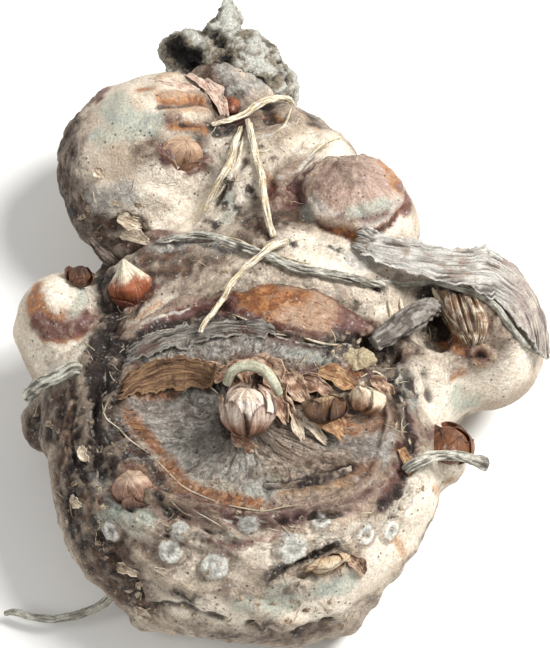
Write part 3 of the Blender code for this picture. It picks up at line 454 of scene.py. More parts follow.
marks = {
    # broad brown dirt, partly painted shade: along the left flanks, in the gap behind the left offset and in
    # the hollow under the sheath
    "brown": [
        (16.0, [(92, 350), (84, 400), (84, 450), (92, 500), (102, 540)]),
        (13.0, [(110, 345), (150, 320), (200, 312), (240, 322)]),
        (13.0, [(240, 330), (300, 340), (350, 345), (376, 360), (386, 400)]),
        (5.0, [(115, 470), (150, 488), (185, 506)]), (11.0, [(70, 470), (84, 520), (104, 565), (130, 590)]),
        (14.0, [(66, 110), (62, 160), (70, 205), (100, 232), (140, 238)]),
        (9.0, [(128, 270), (160, 265), (190, 268)]), (10.0, [(195, 75), (220, 95), (232, 125)]),
        # the second stroke on the next line is painted shade in the hollow under the sheath
        (11.0, [(40, 430), (56, 415), (70, 400)]), (10.0, [(440, 300), (452, 325), (480, 340)]),
        (3.0, [(210, 630), (290, 638), (330, 626)]), (2.4, [(160, 580), (190, 594)]),
        # the second stroke on the next line is painted shade in the gap behind the left offset
        (9.0, [(244, 200), (262, 222), (286, 214)]), (10.0, [(106, 275), (104, 300), (106, 335)]),
        (9.0, [(318, 470), (300, 485), (270, 485)]),
        (11.0, [(270, 390), (300, 400), (340, 395), (372, 392)]),
        (8.0, [(236, 400), (230, 425), (236, 445)]), (9.0, [(205, 165), (195, 150), (170, 148)]),
        (8.0, [(284, 190), (300, 176), (330, 168)]),
    ],
    # black and dark brown crust, partly painted shade: in the gap and crevice at the left, in the hollow
    # under the sheath and in the dark hole at the right neck
    "black": [
        (7.5, [(104, 345), (104, 372), (99, 400), (99, 430), (105, 458)]),
        (4.4, [(112, 352), (118, 372), (110, 396)]), (2.2, [(128, 350), (150, 342), (176, 336)]),
        (1.8, [(120, 430), (134, 446), (146, 456)]), (1.6, [(60, 414), (72, 404), (80, 392)]),
        (3.0, [(126, 388), (118, 402), (112, 420)]),
        (1.8, [(268, 486), (290, 485), (318, 480), (342, 474)]),
        (1.6, [(232, 372), (244, 366), (226, 384)]), (2.6, [(232, 398), (226, 415), (230, 435)]),
        (2.4, [(66, 490), (70, 520), (84, 552)]), (2.0, [(96, 500), (94, 530), (110, 556)]),
        (1.8, [(304, 344), (330, 348), (352, 350)]), (1.6, [(240, 96), (236, 108), (226, 112)]),
        (1.4, [(262, 148), (274, 160)]), (2.0, [(398, 360), (404, 374), (412, 392)]),
        (1.6, [(440, 286), (462, 300), (474, 320)]), (4.0, [(86, 385), (82, 420), (78, 455), (80, 480)]),
        (3.2, [(112, 352), (124, 345), (106, 375), (112, 398)]),
        (3.4, [(140, 338), (160, 330), (175, 326), (200, 322), (222, 318)]),
        (2.2, [(116, 466), (124, 458), (148, 460), (160, 478), (163, 500), (172, 512)]),
        (1.2, [(205, 515), (222, 530)]), (1.0, [(276, 518), (290, 524)]),
        (4.0, [(330, 346), (352, 342), (372, 346), (383, 358), (390, 374)]),
        (2.8, [(393, 385), (400, 405), (404, 428), (408, 445)]),
        (1.8, [(374, 508), (388, 500), (398, 488)]),
        (2.4, [(270, 577), (290, 566), (312, 556), (336, 545)]),
        (1.4, [(230, 318), (255, 328), (285, 336), (310, 340)]),
        (3.6, [(62, 150), (60, 180), (66, 205), (80, 225)]),
        # both strokes on the next line are painted shade, in the gap behind the left offset and the crevice
        # beside it
        (4.6, [(107, 266), (109, 285), (110, 315), (107, 338)]), (3.0, [(98, 246), (104, 256), (96, 240)]),
        (2.0, [(210, 120), (214, 132), (225, 135), (240, 125)]), (2.4, [(70, 470), (76, 510), (88, 540)]),
        (1.8, [(104, 562), (118, 580), (136, 602)]), (1.4, [(207, 220), (218, 226)]),
        (1.2, [(236, 208), (246, 214)]), (1.0, [(258, 232), (270, 236)]), (1.0, [(224, 176), (230, 186)]),
        (1.2, [(250, 190), (256, 196)]), (1.0, [(286, 240), (294, 246)]), (1.0, [(330, 246), (338, 250)]),
        (1.0, [(352, 300), (360, 306)]), (0.9, [(372, 290), (384, 292)]), (0.9, [(430, 264), (438, 268)]),
        (1.4, [(238, 213), (245, 222)]), (1.2, [(222, 196), (226, 208)]),
        (3.4, [(184, 35), (178, 50), (190, 60)]), (1.2, [(286, 590), (300, 584)]),
        (1.6, [(176, 590), (190, 600)]), (3.4, [(34, 425), (46, 430), (56, 436)]),
        # the first stroke on the next line is painted shade in the hollow under the sheath
        (5.0, [(431, 296), (433, 312), (436, 330)]), (1.2, [(452, 300), (462, 318), (470, 334)]),
        # the first stroke on the next line is painted shade in the dark hole at the right neck
        (2.0, [(384, 338), (392, 350), (380, 360)]), (1.8, [(290, 398), (292, 410), (298, 420)]),
        (1.6, [(160, 386), (176, 384), (214, 392), (226, 380)]),
        (1.4, [(262, 628), (268, 620), (300, 632)]), (1.6, [(330, 384), (350, 380), (360, 392)]),
    ],
    # red-brown and purple-brown
    "purple": [
        (3.2, [(182, 500), (215, 514), (262, 520), (300, 516)]),
        (1.2, [(292, 506), (330, 503), (360, 495), (384, 482)]),
        (3.2, [(378, 505), (395, 488), (400, 465), (402, 445)]),
        (3.0, [(232, 318), (250, 322), (270, 332), (292, 340), (318, 342)]),
        (3.4, [(345, 332), (362, 334), (370, 328)]),
        (6.0, [(281, 196), (288, 186), (298, 178), (310, 173)]),
        (3.0, [(292, 202), (306, 196), (316, 188)]), (1.2, [(312, 214), (328, 222), (346, 222)]),
        (1.8, [(326, 222), (345, 219), (368, 217), (386, 212)]),
        (2.8, [(400, 190), (408, 200), (404, 210)]), (1.8, [(208, 160), (200, 168), (188, 172)]),
        (2.4, [(164, 150), (166, 160)]), (2.0, [(144, 118), (160, 122), (176, 118)]),
        (2.4, [(112, 308), (130, 303), (148, 298), (154, 288)]),
        (7.0, [(130, 340), (156, 326), (186, 312), (222, 308)]),
        (1.4, [(206, 540), (232, 546), (262, 540)]),
        (2.0, [(388, 372), (400, 392), (408, 412), (410, 436)]),
        (2.4, [(226, 106), (236, 118), (244, 126)]), (3.0, [(120, 400), (110, 392), (108, 405)]),
        (2.0, [(422, 440), (432, 432), (444, 434)]), (2.6, [(100, 100), (96, 96), (104, 92)]),
        (1.8, [(160, 232), (170, 240)]), (2.2, [(125, 238), (140, 224), (156, 240)]),
        (1.6, [(440, 332), (452, 346), (468, 352)]), (3.6, [(38, 322), (52, 330), (70, 330), (94, 322)]),
        (2.4, [(84, 314), (96, 326)]), (2.0, [(479, 355), (483, 357)]),
        (2.2, [(230, 372), (250, 362), (270, 368), (280, 378)]),
        (2.4, [(300, 378), (320, 372), (340, 374)]),
    ],
    # orange and amber
    "amber": [
        (3.0, [(165, 462), (182, 482), (200, 494), (230, 500), (255, 503)]),
        (2.4, [(124, 410), (134, 422), (148, 438), (160, 452)]),
        (4.0, [(238, 300), (250, 292), (262, 288), (270, 300), (262, 318)]),
        (3.0, [(36, 288), (32, 304), (38, 316)]), (3.2, [(36, 300), (44, 316), (54, 322), (70, 318)]),
        (2.6, [(46, 336), (60, 338), (80, 332)]), (2.4, [(118, 298), (132, 294), (140, 290), (148, 292)]),
        (2.0, [(172, 127), (186, 125), (204, 129)]), (2.6, [(160, 99), (176, 99), (200, 101)]),
        (1.8, [(140, 90), (152, 92)]), (1.8, [(338, 230), (350, 226), (352, 238)]),
        (3.0, [(392, 182), (402, 194), (400, 206)]), (3.4, [(164, 100), (180, 99), (198, 101)]),
        (4.6, [(436, 312), (446, 330), (462, 342)]), (3.0, [(444, 342), (456, 346), (472, 338)]),
        (2.8, [(330, 374), (345, 370), (356, 376)]), (3.6, [(322, 412), (340, 418), (350, 428)]),
        (2.6, [(130, 390), (150, 394), (172, 392)]),
        (2.2, [(285, 494), (310, 493), (335, 488), (350, 480)]), (2.0, [(398, 452), (404, 470)]),
        (1.6, [(262, 175), (272, 182)]), (2.6, [(268, 112), (276, 120)]), (1.6, [(236, 540), (256, 538)]),
        (1.4, [(452, 378), (462, 372)]), (3.4, [(280, 300), (300, 296)]),
    ],
    # dull pink between the crown and the root scars
    "rose": [
        (4.0, [(286, 512), (330, 508), (362, 500), (388, 486)]),
        (3.4, [(200, 518), (232, 530), (270, 534), (296, 530)]),
        (2.4, [(402, 470), (408, 450), (412, 420)]), (2.4, [(150, 505), (172, 516), (190, 520)]),
        (2.2, [(330, 170), (350, 172), (372, 180)]), (2.0, [(64, 322), (80, 318), (96, 312)]),
    ],
    # peach and tan patches
    "peach": [
        (2.6, [(282, 497), (305, 496), (330, 490), (348, 483)]),
        (2.0, [(172, 112), (188, 111), (205, 113)]), (2.2, [(158, 80), (176, 76), (192, 84)]),
        (1.4, [(128, 486), (136, 494), (146, 500)]), (1.6, [(434, 488), (446, 494), (458, 488)]),
        (1.8, [(404, 556), (396, 540)]), (1.4, [(298, 112), (310, 118), (318, 128)]),
        (1.6, [(308, 566), (324, 572)]), (1.5, [(138, 320), (152, 310), (160, 304)]),
        (1.4, [(226, 240), (252, 246), (276, 256)]),
        (1.2, [(473, 352), (478, 347), (486, 349), (490, 357), (484, 364), (475, 362)]),
        (2.4, [(446, 296), (456, 312), (466, 330)]), (1.6, [(462, 296), (472, 314), (480, 334)]),
    ],
    # grey fibrous tissue, grey-green in the dish
    "grey": [
        (12.0, [(165, 415), (185, 430), (205, 445)]),
        (9.0, [(140, 403), (165, 400), (195, 400), (222, 400)]),
        (6.5, [(225, 455), (240, 472), (262, 490)]),
        (4.0, [(150, 354), (180, 348), (215, 344), (255, 342), (290, 348)]),
        (3.6, [(300, 352), (320, 356), (340, 362)]), (4.0, [(90, 440), (95, 470), (110, 490), (125, 510)]),
        (3.0, [(155, 246), (200, 240), (235, 248)]), (4.0, [(398, 370), (402, 385), (410, 400)]),
        (3.2, [(390, 330), (410, 315), (425, 305)]), (5.0, [(330, 440), (360, 450), (385, 445)]),
        (5.0, [(100, 200), (112, 205), (125, 195)]), (4.0, [(355, 262), (380, 258)]),
        (3.6, [(255, 30), (240, 50), (225, 70), (240, 90), (262, 80)]),
        (3.0, [(160, 312), (190, 330), (215, 326)]),
    ],
    # pale cream, smooth
    "cream": [
        (13.0, [(165, 195), (195, 205), (180, 220)]), (8.0, [(228, 150), (240, 180), (225, 210)]),
        (8.0, [(300, 245), (340, 262), (380, 245), (400, 232)]),
        (7.0, [(62, 290), (80, 285), (92, 298), (84, 306)]), (3.0, [(60, 272), (78, 270), (92, 280)]),
        (9.0, [(40, 355), (62, 362), (78, 350)]), (2.6, [(124, 262), (126, 275), (122, 285)]),
        (8.0, [(470, 385), (500, 382), (522, 365)]), (8.0, [(420, 385), (440, 400), (455, 412)]),
        (9.0, [(415, 495), (425, 510), (408, 530), (425, 480)]),
        (8.0, [(388, 545), (375, 570), (400, 520)]), (4.0, [(445, 478), (440, 488)]),
        (3.6, [(285, 308), (305, 314), (324, 318)]), (3.4, [(395, 300), (400, 312), (380, 310)]),
        (2.2, [(280, 548), (295, 545), (312, 540)]), (4.0, [(140, 322), (152, 312), (165, 302)]),
        (5.0, [(300, 150), (320, 140), (340, 150)]), (3.6, [(246, 160), (240, 172)]),
        (4.6, [(262, 552), (300, 556), (345, 532), (385, 522)]),
        (2.4, [(226, 526), (262, 534), (300, 528), (345, 520)]),
        (4.0, [(172, 604), (210, 612), (240, 620)]), (5.0, [(280, 606), (320, 612), (350, 590)]),
        (3.4, [(118, 520), (140, 530), (150, 515)]), (2.2, [(300, 430), (330, 440)]),
        (3.0, [(176, 112), (200, 112)]), (2.0, [(164, 134), (186, 138)]), (2.0, [(60, 310), (66, 312)]),
        (2.2, [(134, 485), (140, 500)]),
    ],
    # pale green-blue bloom and mould
    "mould": [
        (6.0, [(112, 102), (120, 116), (132, 126), (148, 122)]), (3.4, [(98, 136), (112, 136), (122, 132)]),
        (4.6, [(270, 605), (282, 592), (290, 602)]), (3.4, [(318, 590), (338, 588), (350, 580)]),
        (3.2, [(100, 520), (118, 512), (140, 514)]), (2.0, [(110, 430), (112, 445)]),
        (1.6, [(292, 352), (318, 358), (330, 362)]), (1.6, [(246, 492), (262, 494), (272, 497)]),
        (4.0, [(455, 392), (462, 405), (478, 415)]), (2.4, [(308, 210), (314, 214)]),
        (2.2, [(352, 212), (375, 208), (385, 204)]), (2.2, [(228, 195), (232, 210), (226, 220)]),
        (3.0, [(228, 12), (228, 24)]), (1.4, [(86, 345), (96, 350)]),
        (2.0, [(76, 282), (84, 300), (72, 312)]), (3.0, [(124, 520), (136, 528), (146, 518)]),
        (3.0, [(240, 604), (262, 606), (278, 600)]), (1.4, [(398, 372), (404, 390), (412, 408)]),
        (1.2, [(214, 528), (232, 536), (266, 534)]), (1.6, [(74, 490), (80, 505)]),
    ],
    # torn pale edges and fibres
    "thread": [
        (0.5, [(250, 322), (275, 336), (300, 344), (330, 347), (350, 345)]),
        (0.5, [(280, 180), (300, 172), (318, 160), (330, 150)]),
        (0.5, [(345, 130), (322, 142), (305, 158), (292, 172), (280, 182)]),
        (0.6, [(205, 152), (228, 150), (250, 142), (270, 138), (288, 128), (292, 104)]),
        (0.5, [(195, 512), (215, 518), (240, 524)]), (0.5, [(172, 500), (182, 512), (205, 520)]),
        (0.4, [(122, 512), (140, 508), (160, 512)]), (0.5, [(108, 350), (104, 380), (106, 400)]),
        (0.4, [(116, 360), (120, 380), (116, 400)]), (0.5, [(90, 400), (92, 430), (98, 452)]),
        (0.4, [(100, 410), (104, 436), (112, 450)]), (0.6, [(134, 346), (158, 336), (182, 330)]),
        (0.5, [(140, 330), (166, 318), (190, 310)]), (0.5, [(396, 380), (402, 400), (404, 424)]),
        (0.5, [(390, 362), (400, 376), (408, 398)]), (0.4, [(98, 470), (96, 500), (104, 530)]),
        (0.4, [(300, 512), (330, 509), (352, 503)]), (0.4, [(206, 508), (240, 518), (268, 522)]),
        (1.5, [(255, 475), (285, 470), (315, 462), (348, 455)]),
    ],
}


def paintValues(p, relief):
    # every mark's field at each point, the relief there and the places that the formulas know
    values = {name: strokeField(p, strokes) for name, strokes in marks.items()}
    out, bearing = crownPlace(p)
    values["crownOut"] = np.where(p[..., 2] > 20, out, 9.0)
    values["turnX"] = np.cos(bearing)
    values["turnY"] = np.sin(bearing)
    turn = np.radians(scar["turn"])
    x, y = p[:, 0] - scar["centre"][0], p[:, 1] - scar["centre"][1]
    values["scarOut"] = np.where(p[..., 2] > 22, scarPlace(p), 9.0)
    values["scarAlong"] = x * np.cos(turn) + y * np.sin(turn)
    values["scarAcross"] = -x * np.sin(turn) + y * np.cos(turn)
    knob = p - np.array(cap["knob"])
    values["capOut"] = np.linalg.norm(p - np.array(cap["centre"]), axis=-1)
    values["capTurn"] = np.arctan2(knob[:, 1], knob[:, 0])
    values["capFront"] = ease(knob[:, 1], 0.0, -6.0)
    values["calm"] = calmness(p)
    near = [np.linalg.norm(p - np.array(centre), axis=-1) / (0.82 * radius)
            for centre, radius, _ in rootScars]
    values["dome"] = np.minimum.reduce(near)
    values["deep"] = relief
    return values


# materials


def colour(red, green, blue):
    # from the everyday 0 to 255 scale to the shader's own
    part = np.array([red, green, blue]) / 255.0
    value = np.where(part <= 0.04045, part / 12.92, ((part + 0.055) / 1.055) ** 2.4)
    return (*[float(x) for x in value], 1.0)


class Recipe:
    # a material under construction: each call adds a node and returns its first output

    def __init__(self, name, roughness=0.7, specular=0.4):
        self.material = bpy.data.materials.new(name)
        self.material.use_nodes = True
        self.tree = self.material.node_tree
        self.shader = self.tree.nodes["Principled BSDF"]
        self.shader.inputs["Roughness"].default_value = roughness
        self.shader.inputs["Specular IOR Level"].default_value = specular
        place = self.tree.nodes.new("ShaderNodeTexCoord")
        scale = self.tree.nodes.new("ShaderNodeMapping")
        scale.inputs["Scale"].default_value = (1000.0, 1000.0, 1000.0)
        self.tree.links.new(place.outputs["Object"], scale.inputs["Vector"])
        self.place = scale.outputs["Vector"]

    def put(self, socket, value):
        if isinstance(value, bpy.types.NodeSocket):
            self.tree.links.new(value, socket)
        else:
            socket.default_value = value

    def noise(self, size, detail=4.0, rough=0.55, warp=0.0, place=None):
        # cloudy noise with features of about that size in mm, from 0 to 1
        node = self.tree.nodes.new("ShaderNodeTexNoise")
        self.put(node.inputs["Vector"], place or self.place)
        node.inputs["Scale"].default_value = 1.0 / size
        node.inputs["Detail"].default_value = detail
        node.inputs["Roughness"].default_value = rough
        node.inputs["Distortion"].default_value = warp
        return node.outputs["Fac"]

    def cells(self, size, feature="F1", place=None):
        node = self.tree.nodes.new("ShaderNodeTexVoronoi")
        node.feature = feature
        self.put(node.inputs["Vector"], place or self.place)
        node.inputs["Scale"].default_value = 1.0 / size
        return node.outputs["Distance"]

    def value(self, name):
        node = self.tree.nodes.new("ShaderNodeAttribute")
        node.attribute_name = name
        return node.outputs["Fac"]

    def math(self, operation, a, b=0.0, c=0.0):
        node = self.tree.nodes.new("ShaderNodeMath")
        node.operation = operation
        self.put(node.inputs[0], a)
        self.put(node.inputs[1], b)
        if operation == "MULTIPLY_ADD":
            self.put(node.inputs[2], c)
        return node.outputs[0]

    def between(self, x, low, high, start=0.0, end=1.0):
        # a smooth rise from start to end as x goes from low to high
        node = self.tree.nodes.new("ShaderNodeMapRange")
        node.interpolation_type = "SMOOTHSTEP"
        self.put(node.inputs["Value"], x)
        node.inputs["From Min"].default_value = low
        node.inputs["From Max"].default_value = high
        node.inputs["To Min"].default_value = start
        node.inputs["To Max"].default_value = end
        return node.outputs["Result"]

    def mix(self, share, first, second, how="MIX"):
        node = self.tree.nodes.new("ShaderNodeMix")
        node.data_type = "RGBA"
        node.blend_type = how
        self.put(node.inputs["Factor"], share)
        self.put(node.inputs[6], first)
        self.put(node.inputs[7], second)
        return node.outputs[2]

    def joined(self, x, y, z):
        node = self.tree.nodes.new("ShaderNodeCombineXYZ")
        self.put(node.inputs[0], x)
        self.put(node.inputs[1], y)
        self.put(node.inputs[2], z)
        return node.outputs[0]

    def bumpBy(self, height, depth, under=None):
        # relief of that depth in mm
        node = self.tree.nodes.new("ShaderNodeBump")
        node.inputs["Strength"].default_value = 1.0
        node.inputs["Distance"].default_value = depth * mm
        self.put(node.inputs["Height"], height)
        if under is not None:
            self.tree.links.new(under, node.inputs["Normal"])
        return node.outputs["Normal"]

    def grained(self, skin, size, most, tint, form, formDepth, grainDepth):
        # ends a recipe with fine dark grain of that size, and relief from the larger form and from the grain
        fine = self.noise(size, 3.0)
        skin = self.mix(self.between(fine, 0.4, 0.7, 0.0, most), skin, tint, "MULTIPLY")
        normal = self.bumpBy(form, formDepth)
        return self.finish(skin, None, self.bumpBy(fine, grainDepth, normal))

    def finish(self, baseColour, roughness=None, normal=None):
        self.put(self.shader.inputs["Base Color"], baseColour)
        if roughness is not None:
            self.put(self.shader.inputs["Roughness"], roughness)
        if normal is not None:
            self.tree.links.new(normal, self.shader.inputs["Normal"])
        return self.material


flesh = {
    "cream": (220, 206, 186),
    "tan": (181, 163, 142),
    "brown": (114, 92, 76),
    "peach": (206, 166, 126),
    "umber": (92, 62, 43),
    "dark": (46, 32, 25),
    "black": (26, 19, 17),
    "redBrown": (92, 50, 36),
    "purple": (120, 86, 82),
    "orange": (176, 120, 72),
    "amber": (128, 78, 44),
    "grey": (141, 137, 129),
    "paleGrey": (192, 188, 180),
    "palest": (234, 225, 208),
    "mould": (170, 178, 166),
    "bloom": (186, 186, 170),
    "thread": (236, 226, 206),
    "scarTan": (178, 146, 120),
    "pink": (186, 160, 146),
    "rose": (160, 128, 112),
    "dishGreen": (204, 197, 177),
    "fold": (180, 160, 142),
    "rust": (150, 100, 62),
    "disc": (222, 223, 214),
}


def fleshMaterial(name, fibrous):
    # skin of the tuber: mottled cream and tan, then each mark with a ragged edge, specks, cracks and fibres,
    # with painted highlight on raised relief and painted shade in sunken relief
    r = Recipe(name, 0.62, 0.35)
    tone = {key: colour(*value) for key, value in flesh.items()}
    broad = r.noise(14.0, 4.0, 0.55, 0.4)
    middle = r.noise(4.0, 5.0, 0.6, 0.8)
    small = r.noise(1.4, 5.0, 0.68, 0.6)
    fine = r.noise(0.45, 3.0, 0.65)
    deep, calm = r.value("deep"), r.value("calm")
    rougher = r.between(calm, 1.0, 0.0)
    skin = r.mix(r.between(broad, 0.38, 0.62), tone["cream"], tone["tan"])
    blotch = r.math("MULTIPLY", r.between(middle, 0.42, 0.66), rougher)
    skin = r.mix(r.math("MULTIPLY", blotch, 0.8), skin, tone["brown"])
    grit = r.math("MULTIPLY", r.between(small, 0.52, 0.64), rougher)
    skin = r.mix(r.math("MULTIPLY", grit, 0.6), skin, tone["grey"])
    edge = r.math("MULTIPLY_ADD", middle, 3.6, -1.8)
    edge = r.math("ADD", edge, r.math("MULTIPLY_ADD", small, 3.2, -1.6))
    halfEdge = r.math("MULTIPLY", edge, 0.5)
    thin = r.math("MULTIPLY_ADD", small, 0.5, -0.25)

    def layer(base, mark, first, second, soft, most=1.0, wander=edge, inner=small):
        share = r.between(r.math("ADD", r.value(mark), wander), -soft, soft, 0.0, most)
        tint = r.mix(r.between(inner, 0.42, 0.58), first, second)
        return r.mix(share, base, tint)

    def inside(base, share, strength, tint):
        return r.mix(r.math("MULTIPLY", share, strength), base, tint)

    skin = layer(skin, "brown", tone["umber"], tone["dark"], 2.4, 0.95)
    skin = layer(skin, "cream", tone["palest"], tone["cream"], 1.8, 0.9)
    # painted highlight: raised relief lighter, cream or peach
    skin = r.mix(r.between(deep, 0.2, 0.9, 0.0, 0.4), skin, tone["peach" if fibrous else "cream"])
    if fibrous:
        skin = dishTint(r, skin, tone, small, middle, inside)
    else:
        skin = scarTint(r, skin, tone, small, inside)
        skin = capTint(r, skin, tone, small, inside)
    skin = layer(skin, "grey", tone["grey"], tone["paleGrey"], 1.0, 0.85)
    skin = layer(skin, "amber", tone["amber"], tone["orange"], 0.8, 0.95, halfEdge)
    skin = layer(skin, "peach", tone["peach"], tone["scarTan"], 0.6, 0.9, halfEdge)
    skin = layer(skin, "rose", tone["pink"], tone["rose"], 0.8, 0.85, halfEdge)
    skin = layer(skin, "purple", tone["redBrown"], tone["purple"], 0.7, 0.95, halfEdge, middle)
    skin = layer(skin, "mould", tone["bloom"], tone["mould"], 1.0, 0.85, halfEdge, middle)
    skin = layer(skin, "black", tone["black"], tone["dark"], 0.6, 0.97)
    # painted highlight: raised relief and crumbs lighter tan
    raised = r.math("ADD", deep, r.math("MULTIPLY_ADD", small, 1.6, -0.8))
    skin = r.mix(r.between(raised, 0.25, 0.9, 0.0, 0.55), skin, tone["tan"])
    if fibrous:
        curl = r.math("MULTIPLY_ADD", r.noise(5.0, 3.0), 0.7, -0.35)
        fibre = r.noise(1.0, 5.0, 0.66, 0.5, rays(r, curl, 24.0, 5.0))
        strands = r.noise(1.0, 4.0, 0.6, 0.4, rays(r, curl, 7.0, 2.0))
        within = r.between(r.value("crownOut"), 1.04, 0.94)
        skin = inside(skin, r.between(strands, 0.5, 0.64, 0.0, 0.5), within, tone["umber"])
        skin = inside(skin, r.between(strands, 0.46, 0.36, 0.0, 0.3), within, tone["paleGrey"])
        skin = inside(skin, r.between(fibre, 0.55, 0.66, 0.0, 0.55), within, tone["dark"])
        skin = inside(skin, r.between(fibre, 0.46, 0.34, 0.0, 0.45), within, tone["paleGrey"])
        hub = r.math("MULTIPLY", r.between(r.value("crownOut"), 0.32, 0.12), r.between(small, 0.34, 0.5))
        skin = inside(skin, hub, 0.85, tone["dark"])
    skin = domeTint(r, skin, tone, small, inside)
    # painted shade: sunken relief darkened towards dark brown
    skin = r.mix(r.between(deep, -0.08, -0.7, 0.0, 0.92), skin, tone["dark"])
    dust = r.math("MULTIPLY", r.between(fine, 0.56, 0.64), r.between(middle, 0.46, 0.56))
    skin = inside(skin, dust, 0.35, tone["paleGrey"])
    crumb = r.math("MULTIPLY", r.between(r.cells(1.1), 0.26, 0.16), r.between(middle, 0.5, 0.58))
    skin = inside(skin, crumb, 0.35, tone["disc"])
    speck = r.between(r.cells(1.5), 0.2, 0.1)
    few = r.between(r.noise(5.0, 2.0), 0.42, 0.54)
    skin = inside(skin, r.math("MULTIPLY", speck, few), 0.8, tone["dark"])
    crack = r.between(r.cells(3.0, "DISTANCE_TO_EDGE", warped(r, 1.4)), 0.045, 0.0)
    crack = r.math("MULTIPLY", crack, r.math("MULTIPLY", rougher, r.between(broad, 0.46, 0.56)))
    skin = inside(skin, crack, 0.6, tone["brown"])
    skin = layer(skin, "thread", tone["thread"], tone["paleGrey"], 0.15, 0.95, thin)
    skin = r.mix(r.between(fine, 0.35, 0.65, 0.0, 0.35), skin, tone["brown"], "MULTIPLY")
    normal = r.bumpBy(r.math("MULTIPLY", small, r.between(calm, 1.0, 0.0, 0.25, 1.0)), 1.0)
    normal = r.bumpBy(fine, 0.3, normal)
    if fibrous:
        normal = r.bumpBy(fibre, 0.6, normal)
    rough = r.between(small, 0.3, 0.7, 0.36, 0.76)
    return r.finish(skin, rough, normal)


def rays(r, curl, across, out):
    # the place, stretched along the lines that run out from the crown's middle
    return r.joined(r.math("MULTIPLY", r.math("ADD", r.value("turnX"), curl), across),
                    r.math("MULTIPLY", r.math("ADD", r.value("turnY"), curl), across),
                    r.math("MULTIPLY", r.value("crownOut"), out))


def dishTint(r, skin, tone, small, middle, inside):
    # the crown's floor: grey-green at the left, brown behind and at the right, amber inside the rim
    out, turnX, turnY = r.value("crownOut"), r.value("turnX"), r.value("turnY")
    within = r.between(out, 1.03, 0.97)
    wander = r.math("MULTIPLY_ADD", middle, 1.4, -0.7)
    side = r.between(r.math("ADD", turnX, wander), 0.0, 0.5)
    behind = r.between(r.math("ADD", turnY, wander), 0.15, 0.5)
    floor = r.mix(side, tone["dishGreen"], tone["fold"])
    floor = r.mix(behind, floor, tone["umber"])
    floor = r.mix(r.between(small, 0.5, 0.6, 0.0, 0.7), floor, tone["tan"])
    skin = inside(skin, within, 0.95, floor)
    ragged = r.math("ADD", out, r.math("MULTIPLY_ADD", middle, 0.5, -0.25))
    ragged = r.math("ADD", ragged, r.math("MULTIPLY_ADD", small, 0.24, -0.12))
    front = r.math("MULTIPLY", within, r.between(turnY, 0.45, 0.1))
    skin = inside(skin, r.math("MULTIPLY", r.between(ragged, 0.6, 0.8), front), 0.75, tone["tan"])
    band = r.math("MULTIPLY", r.between(ragged, 0.72, 0.86), front)
    skin = inside(skin, band, 0.7, r.mix(r.between(small, 0.44, 0.56), tone["amber"], tone["rust"]))
    return inside(skin, r.math("MULTIPLY", r.between(ragged, 0.9, 1.0), within), 0.9, tone["redBrown"])


def domeTint(r, skin, tone, small, inside):
    # root scars: pale blue-white discs with a darker ring, a dark pit and a dark line round them
    out = r.math("ADD", r.value("dome"), r.math("MULTIPLY_ADD", small, 1.2, -0.6))
    skin = inside(skin, r.between(out, 1.3, 1.1), 0.4, tone["brown"])
    skin = inside(skin, r.between(out, 1.02, 0.8), 0.8, tone["disc"])
    ring = r.math("MULTIPLY", r.between(out, 0.22, 0.32), r.between(out, 0.62, 0.5))
    skin = inside(skin, ring, 0.55, tone["grey"])
    return inside(skin, r.between(out, 0.16, 0.06), 0.85, tone["dark"])


def scarTint(r, skin, tone, small, inside):
    # the oval scar: amber at the left, fibrous tan in the middle, purple at the right, a dark red ring
    out, along, across = r.value("scarOut"), r.value("scarAlong"), r.value("scarAcross")
    lattice = r.joined(r.math("MULTIPLY", along, 0.45), r.math("MULTIPLY", across, 1.8), 0.0)
    streak = r.noise(1.0, 5.0, 0.65, 0.6, lattice)
    wander = r.math("ADD", along, r.math("MULTIPLY_ADD", small, 5.0, -2.5))
    lens = r.mix(r.between(wander, -6.0, -1.5), tone["amber"], tone["scarTan"])
    lens = r.mix(r.between(wander, 5.5, 8.0), lens, tone["purple"])
    lens = r.mix(r.between(streak, 0.5, 0.66, 0.0, 0.8), lens, tone["amber"])
    lens = r.mix(r.between(streak, 0.44, 0.3, 0.0, 0.4), lens, tone["peach"])
    edge = r.math("ADD", out, r.math("MULTIPLY_ADD", small, 0.34, -0.17))
    skin = r.mix(r.between(edge, 1.02, 0.95), skin, lens)
    ring = r.math("MULTIPLY", r.between(edge, 0.78, 0.92), r.between(edge, 1.16, 1.04))
    skin = inside(skin, ring, r.between(across, 3.0, -3.0, 0.6, 0.95), tone["redBrown"])
    rim = r.math("MULTIPLY", r.between(edge, 1.02, 1.06), r.between(edge, 1.16, 1.1))
    return inside(skin, rim, 0.8, tone["black"])


